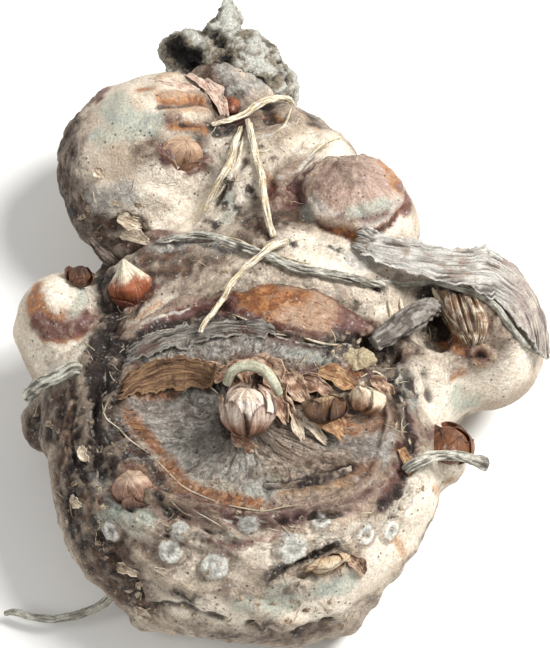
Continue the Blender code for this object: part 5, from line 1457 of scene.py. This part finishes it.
def cordMaterial(name, look):
    # dry fibres running along the cord, with painted shade in the furrows
    r = Recipe(name, 0.75, 0.3)
    along = r.value("along")
    around = r.joined(r.math("MULTIPLY", r.value("turnX"), 3.2), r.math("MULTIPLY", r.value("turnY"), 3.2),
                      r.math("MULTIPLY", along, 0.22))
    streaks = r.noise(1.0, 5.0, 0.68, 0.5, around)
    blot = r.noise(2.2, 4.0, 0.6, 0.3)
    skin = r.mix(r.between(blot, 0.36, 0.64), colour(*look["base"]), colour(*look["pale"]))
    skin = r.mix(r.between(streaks, 0.52, 0.64, 0.0, look["most"]), skin, colour(*look["dark"]))
    # painted shade in the furrows
    skin = r.mix(r.between(r.value("deep"), 0.0, -0.22, 0.0, look["most"]), skin, colour(*look["dark"]))
    return r.grained(skin, 0.35, 0.35, colour(*look["dark"]), streaks, 0.3, 0.1)


cordMaterials = {key: cordMaterial("cord_" + key, look) for key, look in cordLooks.items()}


def carried(path, radii, rings, sides, furrows, rough, seed, flat=0.9):
    # rings of points round a path: radius times furrows and noise, closed at both ends by shrinking rings
    middle = smoothLine(path, rings)
    radius = smoothLine(radii, rings)
    step = np.gradient(middle, axis=0)
    ahead = step / np.maximum(np.linalg.norm(step, axis=1, keepdims=True), 1e-9)
    side = np.cross(ahead, (0.0, 0.0, 1.0))
    side = side / np.maximum(np.linalg.norm(side, axis=1, keepdims=True), 1e-9)
    above = np.cross(side, ahead)
    length = np.concatenate([[0], np.cumsum(np.linalg.norm(np.diff(middle, axis=0), axis=1))])
    angle = np.linspace(0, 2 * np.pi, sides, endpoint=False)[None, :]
    s = length[:, None]
    twist = angle + 0.10 * s + 0.8 * np.sin(0.35 * s + seed)
    furrow = -0.5 * np.abs(np.sin(furrows * 0.5 * twist)) ** 0.7 + 0.25
    lattice = gridOf(np.cos(angle) * 2.2, np.sin(angle) * 2.2, s * 0.55)
    knots = cloud(lattice, 1.0, seed) + 0.5 * cloud(lattice * 2.3, 1.0, seed + 1)
    deep = rough * (furrow * 1.6 + 0.8 * knots)
    ends = np.minimum(np.linspace(0, rings / 3, rings), np.linspace(rings / 3, 0, rings))
    close = np.sqrt(1 - (1 - np.clip(ends / 1.4, 0, 1)) ** 2)[:, None]
    r = (radius[:, None] + deep) * close
    points = middle[:, None] + side[:, None] * (r * np.cos(angle))[..., None]
    points = points + above[:, None] * (r * flat * np.sin(angle))[..., None]
    values = {"along": s, "deep": deep, "turnX": np.cos(angle), "turnY": np.sin(angle)}
    faces = gridFaces(rings, sides, closeColumns=True)
    return points.reshape(-1, 3), faces, spreadOver(values, deep.shape)


def lying(name, s):
    # the path of a lying cord: its height is the top of the CAD node less the radius
    tree = treeOf(name)
    flat = smoothLine([point[:2] for point in s["path"]], 4 * len(s["path"]) - 3)
    shift = 0.35 * cloud(np.column_stack([flat, np.zeros(len(flat))]), 3.0, len(name))
    flat[:, 0] += shift
    radius = smoothLine(s["radii"], len(flat))
    heights = []
    for x, y in flat:
        hit = tree.ray_cast(Vector((x, y, 90.0)), Vector((0, 0, -1)))
        near = tree.find_nearest(Vector((x, y, heights[-1] if heights else 28.0)))
        heights.append(hit[0].z if hit[0] is not None else near[0].z)
    return np.column_stack([flat, np.array(heights) - radius]), radius


for cordName, cord in cords.items():
    if len(cord["path"][0]) == 2:
        path, radii = lying(cordName, cord)
    else:
        path, radii = cord["path"], cord["radii"]
    sides = 40 if max(cord["radii"]) > 1.2 else 26
    furrows = 9 if cord["look"] == "stump" else 5
    points, faces, values = carried(path, radii, 216, sides, furrows, cord["rough"], len(cordName))
    material = cordMaterials[cord["look"]]
    newPiece(cordName + "_fibres", points, faces, material, [cordName], values, True)
print("cords made")

# dry sheets: two edges with a fluted, fibrous skin between them

sheets = {
    "leaf_sheath": {
        "back": [(19.6, 35.2), (25.2, 33.8), (30.5, 32.4), (35.8, 31.4), (40.2, 31.6), (43.8, 32.0),
        (47.6, 30.0), (51.2, 26.4), (53.8, 20.8), (54.6, 15.4)], "front": [(18.8, 31.6), (24.6, 28.4),
        (29.5, 25.9), (34.7, 24.3), (40.0, 23.2), (44.4, 21.0), (47.6, 17.6), (50.0, 15.4), (52.2, 14.4),
        (54.0, 13.8)], "size": (220, 50), "slot": "dry_leaf", "flutes": 0.45, "fray": 0.06, "ragged": 0.35,
        "base": (162, 157, 148), "pale": (208, 204, 196), "dark": (66, 56, 50), "patch": (142, 120, 102),
        "most": 0.85, "smoothFrom": 26.0,
    },
    "crown_membrane": {
        "back": [(-20.6, 9.4), (-14.4, 12.4), (-7.3, 13.6), (-0.4, 14.2), (5.4, 13.6)],
        "front": [(-20.4, 6.4), (-13.8, 8.4), (-7.3, 9.6), (-0.4, 10.6), (6.0, 10.8)], "size": (160, 40),
        "slot": "dry_leaf", "flutes": 0.5, "fray": 0.10, "ragged": 0.5, "base": (84, 77, 70),
        "pale": (152, 147, 138), "dark": (34, 27, 23), "patch": (84, 56, 42), "most": 0.9,
        "smoothFrom": 90.0,
    },
    "crown_scale": {
        "back": [(-20.8, 3.6), (-16.4, 6.2), (-11.4, 7.0), (-6.6, 5.8), (-3.4, 3.4)],
        "front": [(-21.4, 0.0), (-16.4, 1.4), (-11.4, 1.6), (-6.8, 1.2), (-4.0, 0.4)], "size": (150, 40),
        "slot": "amber_scale", "flutes": 0.3, "fray": 0.08, "ragged": 0.5, "base": (84, 57, 39),
        "pale": (150, 118, 86), "dark": (40, 26, 19), "patch": (60, 36, 25), "most": 0.9,
        "smoothFrom": 90.0,
    },
}


def sheetMaterial(name, s):
    # fibres along the sheet, brown patches, painted shade in the furrows, pale frayed edges
    r = Recipe(name, 0.7, 0.3)
    along, across = r.value("along"), r.value("across")
    blot = r.noise(3.4, 4.0, 0.6, 0.5)
    grain = r.joined(r.math("MULTIPLY", along, 0.16), r.math("MULTIPLY", across, 2.2), 0.0)
    streaks = r.noise(1.0, 6.0, 0.7, 0.35, grain)
    skin = r.mix(r.between(streaks, 0.36, 0.6), colour(*s["pale"]), colour(*s["base"]))
    skin = r.mix(r.between(blot, 0.52, 0.66, 0.0, 0.7), skin, colour(*s["patch"]))
    smooth = r.between(along, s["smoothFrom"], s["smoothFrom"] + 8.0)
    skinTone = r.mix(r.between(blot, 0.4, 0.6), colour(190, 177, 162), colour(152, 137, 129))
    skin = r.mix(r.math("MULTIPLY", smooth, 0.75), skin, skinTone)
    skin = r.mix(r.between(streaks, 0.54, 0.66, 0.0, s["most"]), skin, colour(*s["dark"]))
    # painted shade in the furrows
    skin = r.mix(r.between(r.value("deep"), -0.05, -0.4, 0.0, s["most"]), skin, colour(*s["dark"]))
    skin = r.mix(r.between(r.value("rim"), 0.35, 0.05, 0.0, 0.6), skin, colour(*s["pale"]))
    return r.grained(skin, 0.35, 0.3, colour(*s["dark"]), streaks, 0.4, 0.1)


def makeSheet(name, s):
    rows, columns = s["size"]
    tree = treeOf(name)
    back, front = smoothLine(s["back"], rows), smoothLine(s["front"], rows)
    share = np.linspace(0, 1, columns)
    flat = back[:, None] * (1 - share[None, :, None]) + front[:, None] * share[None, :, None]
    coarse = flat[::rows // 52, ::columns // 10]
    heights = np.full(coarse.shape[:2], np.nan)
    for i, row in enumerate(coarse):
        for j, (x, y) in enumerate(row):
            hit = tree.ray_cast(Vector((x, y, 90.0)), Vector((0, 0, -1)))
            heights[i, j] = hit[0].z if hit[0] is not None else tree.find_nearest(Vector((x, y, 30.0)))[0].z
    spotR = np.arange(0, rows, rows // 52)
    spotC = np.arange(0, columns, columns // 10)
    partly = np.stack([np.interp(np.arange(columns), spotC, row) for row in heights])
    z = np.stack([np.interp(np.arange(rows), spotR, column) for column in partly.T], 1)
    for _ in range(6):
        z[1:-1] = (z[:-2] + 2 * z[1:-1] + z[2:]) / 4
        z[:, 1:-1] = (z[:, :-2] + 2 * z[:, 1:-1] + z[:, 2:]) / 4
    length = np.linspace(0, np.linalg.norm(np.diff(back, axis=0), axis=1).sum(), rows)[:, None]
    wide = np.linalg.norm(back - front, axis=1)[:, None]
    across = share[None, :] * wide
    lattice = gridOf(length * 0.16, across * 1.1, np.zeros_like(across))
    flutes = creases(lattice, 1.0, 71) - 0.6 + 0.5 * cloud(lattice * 2.1, 1.0, 72)
    waves = 0.5 * cloud(gridOf(length * 0.25, across * 0.3, 0 * across), 1.0, 73)
    deep = s["flutes"] * flutes + s["flutes"] * waves
    notch = s["ragged"] * cloudAlong(length.ravel() * 0.9, 0.0, 74)
    torn = 0.5 * s["ragged"] * cloudAlong(length.ravel() * 3.1, 1.0, 75)
    inward = (notch + torn)[:, None] / np.maximum(wide, 1.0)
    at = share[None, :] + inward * (1 - 2 * share[None, :])
    moved = back[:, None] + (front - back)[:, None] * at[..., None]
    fray = s["fray"] * np.abs(cloudAlong(np.arange(columns) * 0.35, 0.0, 76))
    pull = ease(np.linspace(0, 1, rows), 0.12, 0.0)[:, None] * fray[None, :] * rows
    index = np.clip(np.arange(rows)[:, None] + pull, 0, rows - 1.001)
    low = index.astype(int)
    part = (index - low)[..., None]
    column = np.broadcast_to(np.arange(columns)[None, :], low.shape)
    moved = moved[low, column] * (1 - part) + moved[low + 1, column] * part
    points = np.concatenate([moved, (z - 0.35 + deep)[..., None]], -1)
    rim = np.minimum(share, 1 - share)[None, :] * wide
    values = spreadOver({"along": length, "across": across, "deep": deep, "rim": rim}, deep.shape)
    faces = gridFaces(rows, columns)[:, ::-1]
    material = sheetMaterial(name, s)
    made = newPiece(name + "_skin", points.reshape(-1, 3), faces, material, [name], values)
    thicken(made, 0.35, -1.0)


for sheetName, sheet in sheets.items():
    makeSheet(sheetName, sheet)
print("sheets made")

# withered crust at the far end, and the crumb of soil

crustLooks = {
    "withered_crust": {
        "voxel": 0.42, "smooth": 8, "rough": 1.15, "size": 2.7, "base": (98, 93, 84),
        "pale": (202, 201, 190), "dark": (28, 25, 23), "patch": (146, 134, 114), "slot": "withered_tissue",
    },
    "soil_grains": {
        "voxel": 0.16, "smooth": 2, "rough": 0.25, "size": 1.1, "base": (206, 192, 162),
        "pale": (236, 226, 202), "dark": (104, 86, 66), "patch": (186, 166, 132), "slot": "soil",
    },
}
crustMarks = {
    "black": [(5.0, [(172, 44), (178, 54), (192, 60)]), (2.6, [(212, 66), (226, 60)]),
    (2.4, [(262, 30), (274, 44)]), (2.2, [(190, 84), (200, 76)]), (2.0, [(222, 44), (214, 36)]),
    (1.6, [(250, 78), (262, 86)]), (2.0, [(280, 66), (286, 78)])],
    "white": [(4.6, [(229, 10), (226, 22), (232, 30)]), (2.2, [(250, 60), (262, 64), (272, 70)]),
    (2.4, [(232, 92), (246, 96)]), (1.8, [(196, 40), (204, 44)]), (1.8, [(214, 78), (224, 84)])],
}


def crustMaterial(name, s):
    # crumbly: grey, with painted highlight on the heights and painted shade in the hollows
    r = Recipe(name, 0.85, 0.25)
    deep = r.value("deep")
    middle = r.noise(2.4 * s["size"] / 4.2, 5.0, 0.65, 0.5)
    small = r.noise(0.9 * s["size"] / 4.2, 4.0, 0.65, 0.4)
    skin = r.mix(r.between(middle, 0.38, 0.6), colour(*s["base"]), colour(*s["patch"]))
    wander = r.math("MULTIPLY_ADD", small, 3.0, -1.5)
    pale, dark = colour(*s["pale"]), colour(*s["dark"])
    raised = r.math("ADD", deep, r.math("MULTIPLY", wander, 0.3))
    # painted highlight on the heights, then painted shade in the hollows
    skin = r.mix(r.between(raised, 0.3, 1.0, 0.0, 0.75), skin, pale)
    skin = r.mix(r.between(raised, -0.05, -0.7, 0.0, 0.95), skin, dark)
    white, black = r.math("ADD", r.value("white"), wander), r.math("ADD", r.value("black"), wander)
    skin = r.mix(r.between(white, -0.8, 0.8, 0.0, 0.85), skin, pale)
    skin = r.mix(r.between(black, -0.7, 0.7, 0.0, 0.95), skin, dark)
    return r.grained(skin, 0.4, 0.4, colour(*s["dark"]), small, 0.6, 0.25)


def makeCrust(name, s):
    # a merged copy of the CAD node on a fine grid, smoothed, then broken up by ridged noise
    mesh = fineCopy(name, s["voxel"], s["smooth"])
    points = pointsOf(mesh)
    tree = treeOf(name)
    values = {}
    for key, strokes in crustMarks.items():
        field = np.full(len(points), -9.0)
        for width, places in strokes:
            spots = [skinSpot(px, py, tree) for px, py in places]
            field = np.maximum(field, width / 2 - lineDistance(points, spots))
        values[key] = field if name == "withered_crust" else np.full(len(points), -9.0)
    deep = s["rough"] * (0.9 * rugged(points, s["size"], 81) + 0.7 * rugged(points, 0.45 * s["size"], 85))
    deep = deep - 1.2 * s["rough"] * ease(values["black"], -1.0, 1.4)
    points = points + normalsOf(mesh) * (deep - 0.25 * s["rough"])[:, None]
    points = np.clip(points, np.array(cadLow) / mm, np.array(cadHigh) / mm)
    setPoints(mesh, points)
    values["deep"] = deep
    addValues(mesh, values)
    return finishCopy(name + "_crumbs", mesh, crustMaterial(name, s), name)


for crustName, crust in crustLooks.items():
    makeCrust(crustName, crust)
print("crust made")

# loose pieces: torn leaves, flakes of skin and fine fibres lying on the flesh


def treeFrom(made):
    points = pointsOf(made.data)
    return BVHTree.FromPolygons(points.tolist(), [tuple(face.vertices) for face in made.data.polygons])


fineTrees = [treeFrom(tuberSkin), treeFrom(crownPlate), treeOf("leaf_sheath")]


def fineSpot(px, py):
    # where the line of sight meets the finished skin, and the skin's slope there
    eye, sight = sightOf(px, py)
    hits = [tree.ray_cast(Vector(eye), Vector(sight)) for tree in fineTrees]
    hits = [hit for hit in hits if hit[0] is not None]
    if not hits:
        return skinSpot(px, py), np.array([0.0, 0.0, 1.0])
    best = min(hits, key=lambda hit: hit[3])
    return np.array(best[0]), np.array(best[1])


# look: mid, pale, dark tones; leaves: start and end in the photo, width, rise, cup and tilt in mm
leafLooks = {
    "brown_torn": {
        "mid": (124, 88, 66), "pale": (196, 168, 142), "dark": (52, 33, 26),
        "leaves": [(266, 382, 292, 420, 4.6, 1.6, 0.8, 0.4), (280, 378, 306, 402, 3.6, 1.4, 0.7, -0.3),
        (226, 366, 264, 372, 3.4, 1.4, -0.6, 0.5), (252, 358, 288, 380, 3.0, 1.0, 0.6, 0.2),
        (300, 378, 330, 392, 3.4, 0.8, 0.6, 0.4), (190, 364, 224, 372, 2.4, 0.9, 0.5, 0.5),
        (350, 556, 364, 574, 2.6, 0.8, 0.6, 0.0), (272, 398, 284, 424, 2.8, 1.0, 0.5, -0.5),
        (370, 380, 392, 396, 2.6, 0.8, 0.5, 0.3), (238, 364, 246, 384, 3.2, 1.4, 0.7, 0.4),
        (266, 366, 280, 392, 4.0, 1.6, 0.8, 0.3), (284, 372, 296, 398, 3.4, 1.4, 0.7, 0.4),
        (206, 372, 232, 376, 3.0, 1.2, 0.6, 0.4), (228, 376, 238, 392, 2.8, 0.8, 0.4, 0.2),
        (232, 432, 256, 448, 3.0, 0.4, -0.4, 0.2)],
    },
    "amber_leaf": {
        "mid": (126, 84, 50), "pale": (182, 146, 106), "dark": (56, 35, 24),
        "leaves": [(306, 402, 346, 434, 5.6, 0.9, -0.8, 0.5), (318, 372, 354, 386, 3.6, 0.7, 0.5, 0.0),
        (400, 450, 410, 476, 2.4, 0.6, 0.4, 0.2), (150, 378, 176, 384, 2.4, 0.6, -0.5, 0.2)],
    },
    "pale_torn": {
        "mid": (190, 170, 144), "pale": (226, 212, 190), "dark": (100, 74, 54),
        "leaves": [(352, 392, 374, 412, 3.0, 1.0, 0.6, 0.3), (292, 412, 302, 440, 2.6, 0.8, 0.4, 0.0),
        (300, 420, 326, 444, 2.0, 0.6, 0.4, -0.3), (72, 496, 82, 506, 1.6, 0.4, 0.3, 0.3),
        (118, 564, 138, 574, 1.8, 0.5, 0.3, 0.4), (118, 216, 142, 226, 2.8, 0.6, 0.4, 0.4),
        (122, 234, 148, 243, 2.6, 0.5, 0.4, 0.4), (96, 168, 104, 178, 1.8, 0.5, 0.3, 0.3),
        (82, 446, 88, 462, 1.6, 0.4, 0.3, 0.3), (136, 606, 152, 618, 1.8, 0.5, 0.3, 0.3)],
    },
    "pink_fibre": {
        "mid": (176, 144, 126), "pale": (214, 192, 174), "dark": (96, 66, 54),
        "leaves": [(204, 80, 224, 116, 3.6, 0.8, 0.6, 0.4), (156, 82, 196, 88, 4.2, 0.3, -0.5, 0.2),
        (186, 76, 206, 92, 2.4, 0.5, 0.4, 0.2)],
    },
}


def leafMaterial(name, look):
    # fibres along the leaf, painted shade in the wrinkles, pale torn edges
    r = Recipe(name, 0.6, 0.35)
    lattice = r.joined(r.math("MULTIPLY", r.value("along"), 0.4), r.math("MULTIPLY", r.value("across"), 3.0),
                       r.math("MULTIPLY", r.value("tint"), 20.0))
    streaks = r.noise(1.0, 5.0, 0.66, 0.4, lattice)
    blot = r.noise(1.8, 4.0, 0.6, 0.4)
    skin = r.mix(r.between(blot, 0.4, 0.62), colour(*look["mid"]), colour(*look["pale"]))
    skin = r.mix(r.between(streaks, 0.5, 0.62, 0.0, 0.8), skin, colour(*look["dark"]))
    # painted shade in the wrinkles
    skin = r.mix(r.between(r.value("deep"), 0.0, -0.25, 0.0, 0.7), skin, colour(*look["dark"]))
    skin = r.mix(r.between(r.value("rim"), 0.9, 1.0, 0.0, 0.6), skin, colour(*look["pale"]))
    return r.grained(skin, 0.35, 0.35, colour(*look["dark"]), streaks, 0.3, 0.1)


leafSize = (34, 18)


def leafGrid(start, end, normal, width, rise, cup, tilt, seed, rows, columns):
    # a leaf from start to end: its middle line arches, its sides cup and its outline is torn by noise
    along = np.linspace(0, 1, rows)[:, None]
    across = np.linspace(-1, 1, columns)[None, :]
    ahead = end - start
    side = np.cross(ahead, normal)
    side = side / max(np.linalg.norm(side), 1e-6)
    shape = np.sin(np.pi * np.clip(0.10 + 0.80 * along, 0, 1)) ** 0.7
    torn = 1 + 0.35 * cloud(gridOf(along * 5, np.sign(across) * 3 + 0 * along, 0 * along + seed),
                            1.0, 95)
    endCut = 1 + 0.10 * cloud(gridOf(across * 4, 0 * along, 0 * along + seed), 1.0, 96)
    reach = along * endCut
    wrinkleAt = gridOf(along * 3, across * 3.5, 0 * along + seed)
    deep = 0.22 * (creases(wrinkleAt, 1.0, 97) - 0.6) + 0.08 * cloud(wrinkleAt * 2.7, 1.0, 98)
    lift = rise * np.sin(np.pi * np.clip(along, 0, 1)) ** 0.8 + cup * across ** 2
    lift = lift + tilt * across * along + deep + 0.12
    points = start + ahead * reach[..., None] + side * (across * 0.5 * width * shape * torn)[..., None]
    points = points + normal * lift[..., None]
    length = np.linalg.norm(ahead)
    values = {"along": reach * length, "across": across * 0.5 * width, "deep": deep,
              "rim": np.maximum(np.abs(across), np.abs(2 * along - 1)), "tint": (seed * 0.37) % 1}
    return points.reshape(-1, 3), spreadOver(values, deep.shape)


for lookName, look in leafLooks.items():
    grids = []
    for k, (x0, y0, x1, y1, width, rise, cup, tilt) in enumerate(look["leaves"]):
        start, slopeA = fineSpot(x0, y0)
        end, slopeB = fineSpot(x1, y1)
        slope = slopeA + slopeB + (0, 0, 1.0)
        slope = slope / np.linalg.norm(slope)
        grids.append(leafGrid(start, end, slope, width, rise, cup, tilt, k + 1, *leafSize))
    makeSheets(lookName + "_leaves", grids, *leafSize, leafMaterial(lookName, look), "dry_leaf", 0.12)
print("leaves made")

# flakes: places in the photo (left, top, right, bottom), how many, size in mm
flakeFields = [
    (84, 190, 150, 240, 16, 1.6), (62, 440, 110, 570, 20, 1.6), (110, 560, 220, 620, 18, 1.5),
    (220, 590, 350, 628, 20, 1.5), (120, 300, 225, 350, 10, 1.1), (170, 505, 300, 545, 16, 1.2),
    (300, 505, 400, 540, 12, 1.3), (385, 350, 415, 450, 8, 1.1), (80, 340, 120, 460, 6, 1.0),
    (210, 120, 300, 230, 14, 1.2), (300, 90, 345, 150, 8, 1.2), (300, 330, 385, 390, 16, 1.2),
    (150, 360, 225, 385, 8, 1.2), (430, 290, 480, 350, 8, 1.4), (200, 240, 300, 270, 10, 1.2),
    (395, 420, 430, 500, 8, 1.2), (20, 400, 60, 445, 6, 1.2),
]
flakeGrid = (9, 7)
flakeLook = {"mid": (142, 118, 94), "pale": (206, 190, 166), "dark": (70, 50, 38)}


def makeFlakes():
    chance = np.random.default_rng(7)
    grids = []
    for left, top, right, bottom, count, size in flakeFields:
        for k in range(count):
            px, py = chance.uniform(left, right), chance.uniform(top, bottom)
            turn, long = chance.uniform(0, 2 * np.pi), size * chance.uniform(0.5, 1.1) / camera["pixel"]
            start, slopeA = fineSpot(px, py)
            end, slopeB = fineSpot(px + long * np.cos(turn), py + long * np.sin(turn))
            if np.linalg.norm(end - start) > 3 * size + 1:
                continue
            slope = slopeA + slopeB
            slope = slope / max(np.linalg.norm(slope), 1e-6)
            shape = (chance.uniform(0.5, 0.9) * size, chance.uniform(0.0, 0.15), chance.uniform(-0.15, 0.1),
                     chance.uniform(-0.2, 0.2))
            sunk = 0.22 * slope
            grids.append(leafGrid(start - sunk, end - sunk, slope, *shape, len(grids) + 11, *flakeGrid))
    makeSheets("skin_flakes", grids, *flakeGrid, leafMaterial("skin_flakes", flakeLook), "flesh", 0.1)
    print("flakes made", len(grids))


makeFlakes()


# a seed-like husk, a smooth oval
def seedMaterial():
    # glossy red-brown, painted shade darkening its lower half, which shows as a darker rim, and fine dark
    # streaks
    r = Recipe("brown_seed", 0.35, 0.5)
    streaks = r.noise(1.2, 4.0, 0.6, 0.4)
    skin = r.mix(r.between(streaks, 0.4, 0.62), colour(140, 80, 50), colour(84, 46, 32))
    # painted shade: the lower half, facing the skin, darkened
    skin = r.mix(r.between(r.value("rim"), 0.62, 0.5), skin, colour(52, 30, 22))
    fine = r.noise(0.4, 3.0)
    skin = r.mix(r.between(fine, 0.4, 0.7, 0.0, 0.3), skin, colour(150, 118, 92), "MULTIPLY")
    return r.finish(skin, None, r.bumpBy(streaks, 0.2))


def makeSeed():
    rows, columns = 40, 60
    centre, slope = fineSpot(231, 106)
    z = -np.cos(np.linspace(0, np.pi, rows))[:, None]
    bearing = np.linspace(0, 2 * np.pi, columns, endpoint=False)[None, :]
    width = np.sqrt(np.maximum(1 - z * z, 0)) * (1 + 0.08 * np.sin(3 * bearing))
    place = gridOf(np.cos(bearing) * width * 1.8, np.sin(bearing) * width * 2.4, z * 1.4)
    turn = fromUpright(slope)
    points = place.reshape(-1, 3) @ turn.T + centre
    values = spreadOver({"rim": 0.5 + 0.5 * z}, (rows, columns))
    faces = gridFaces(rows, columns, closeColumns=True)
    newPiece("brown_seed", points, faces, seedMaterial(), (), values, True)


makeSeed()


# fibres: places in the photo they pass through, radius in mm
fibres = [
    ([(250, 118), (243, 140), (238, 160), (222, 190), (204, 210)], 0.28),
    ([(248, 150), (262, 152), (276, 146)], 0.2),
    ([(432, 288), (440, 302), (452, 318), (468, 334), (474, 342)], 0.55),
    ([(352, 134), (338, 138), (322, 146), (306, 160)], 0.35), ([(292, 106), (284, 126), (268, 138)], 0.25),
    ([(150, 454), (166, 470), (182, 486), (204, 497), (226, 505)], 0.13),
    ([(226, 505), (262, 511), (284, 507), (304, 504)], 0.13),
    ([(102, 402), (106, 418), (118, 428), (130, 440), (150, 454)], 0.13),
    ([(288, 330), (310, 340), (332, 345), (350, 344)], 0.2),
    ([(226, 312), (246, 320), (268, 332), (288, 336)], 0.18),
    ([(160, 246), (200, 236), (236, 240), (262, 252)], 0.25), ([(268, 252), (300, 262), (334, 272)], 0.2),
    ([(196, 512), (214, 522), (232, 534)], 0.1), ([(170, 500), (186, 514), (206, 518)], 0.1),
    ([(360, 378), (374, 372), (388, 380)], 0.2), ([(388, 300), (392, 316), (388, 330)], 0.4),
    ([(400, 298), (402, 314), (398, 328)], 0.4), ([(140, 338), (170, 330), (204, 332), (226, 322)], 0.2),
    ([(130, 360), (160, 346), (190, 340)], 0.2),
]


def joinCords(name, strands, material):
    # several cords as one piece, each a little sunk into what carries it
    points, faces, values, total = [], [], [], 0
    for k, (places, radius) in enumerate(strands):
        path = places + (0.0, 0.0, 0.6 * radius)
        radii = [0.7 * radius] + [radius] * (len(path) - 2) + [0.4 * radius]
        made = carried(path, radii, 28, 7, 3, 0.25 * radius, k)
        points.append(made[0])
        faces.append(made[1] + total)
        values.append(made[2])
        total += len(made[0])
    joined = {key: np.concatenate([value[key] for value in values]) for key in values[0]}
    newPiece(name, np.concatenate(points), np.concatenate(faces), material, (), joined, True)


def strandsOf(table):
    return [(np.array([fineSpot(px, py)[0] for px, py in places]), radius) for places, radius in table]


def makeFibres():
    chance = np.random.default_rng(11)
    strands = strandsOf(fibres)
    for k in range(90):
        left, top, right, bottom = flakeFields[k % len(flakeFields)][:4]
        px, py, turn = chance.uniform(left, right), chance.uniform(top, bottom), chance.uniform(0, 2 * np.pi)
        places = []
        for _ in range(4):
            places.append(fineSpot(px, py)[0])
            turn = turn + chance.uniform(-0.5, 0.5)
            px, py = px + 5 * np.cos(turn), py + 5 * np.sin(turn)
        places = np.array(places)
        if np.abs(np.diff(places, axis=0)).max() < 2.5:
            strands.append((places, chance.uniform(0.07, 0.13)))
    joinCords("fine_fibres", strands, cordMaterials["straw"])


# the sheath's rolled lower edge, and the fibrous tissue hanging from it over the right globe's hollow
sheathEdge = [
    ([(376, 280), (406, 286), (430, 283), (446, 285)], 0.5),
    ([(430, 283), (458, 289), (480, 297), (496, 308), (510, 327), (526, 346), (541, 357)], 0.7),
]
drape = {
    "left": [(433, 289), (436, 306), (444, 322), (458, 338), (468, 348)], "right": [(482, 300), (488, 312),
    (490, 326), (486, 338), (478, 348)], "rows": 90, "columns": 70, "mid": (146, 116, 90),
    "pale": (214, 198, 174), "dark": (66, 44, 32),
}


def makeDrape(s):
    # a grid between two lines of the photo, laid over the skin, ridged, its lower end sunk in
    sides = [smoothLine(s[side], 8)[:, :2] for side in ("left", "right")]
    steps = np.linspace(0, 1, 7)
    spots = np.array([[fineSpot(*(a + (b - a) * t))[0] for t in steps] for a, b in zip(*sides)])
    long = np.stack([smoothLine(spots[:, k], s["rows"]) for k in range(len(steps))], 1)
    grid = np.stack([smoothLine(line, s["columns"]) for line in long])
    along, across = np.linspace(0, 1, s["rows"])[:, None], np.linspace(-1, 1, s["columns"])[None, :]
    lattice = gridOf(along * 2.2, across * 7 + 0.8 * along, 0 * along + 5)
    deep = 1.0 * (creases(lattice, 1.0, 97) - 0.6) + 0.2 * cloud(lattice * 2.3, 1.0, 98)
    edge = ease(np.abs(across), 1.0, 0.8) * ease(along, 1.0, 0.85)
    lift = (0.9 + deep) * edge - 0.5 * (1 - edge)
    grid = grid + np.array([0.0, -0.45, 0.9]) * lift[..., None]
    values = {"along": 10 * along, "across": 5 * across, "deep": deep - 0.1,
              "rim": np.maximum(np.abs(across), along), "tint": 0.3}
    faces = gridFaces(s["rows"], s["columns"])
    newPiece("hanging_tissue", grid.reshape(-1, 3), faces, leafMaterial("hanging_tissue", s), (),
             spreadOver(values, deep.shape))


makeFibres()
joinCords("sheath_edge", strandsOf(sheathEdge), cordMaterials["grey"])
makeDrape(drape)
print("fibres made")

# floor and light

studio = {
    "floor": (232, 231, 228),
    "world": 0.42,
    "key": {"place": (0.42, 0.12, 0.58), "size": 0.32, "power": 9.0},
    "fill": {"place": (-0.45, -0.25, 0.55), "size": 0.5, "power": 2.0},
}


def makeLight(name, settings):
    data = bpy.data.lights.new(name, "AREA")
    data.shape = "DISK"
    data.size = settings["size"]
    data.energy = settings["power"]
    lamp = linked(name, data)
    lamp.location = settings["place"]
    aim = Vector(camera["aim"]) * mm - lamp.location
    lamp.rotation_euler = aim.to_track_quat("-Z", "Y").to_euler()


def makeStudio():
    r = Recipe("floor", 0.9, 0.2)
    grain = r.noise(6.0, 3.0)
    tone = r.mix(r.between(grain, 0.3, 0.7, 0.0, 0.06), colour(*studio["floor"]), colour(210, 208, 204))
    material = r.finish(tone)
    mesh = bpy.data.meshes.new("floor")
    mesh.from_pydata([(-3, -3, 0), (3, -3, 0), (3, 3, 0), (-3, 3, 0)], [], [(0, 1, 2, 3)])
    mesh.materials.append(material)
    floor = linked("floor", mesh)
    world = bpy.data.worlds.new("studio")
    world.use_nodes = True
    back = world.node_tree.nodes["Background"]
    back.inputs["Color"].default_value = (1.0, 1.0, 1.0, 1.0)
    back.inputs["Strength"].default_value = studio["world"]
    bpy.context.scene.world = world
    makeLight("key", studio["key"])
    makeLight("fill", studio["fill"])
    bpy.context.scene.view_settings.view_transform = "Standard"


makeStudio()
print("studio made")
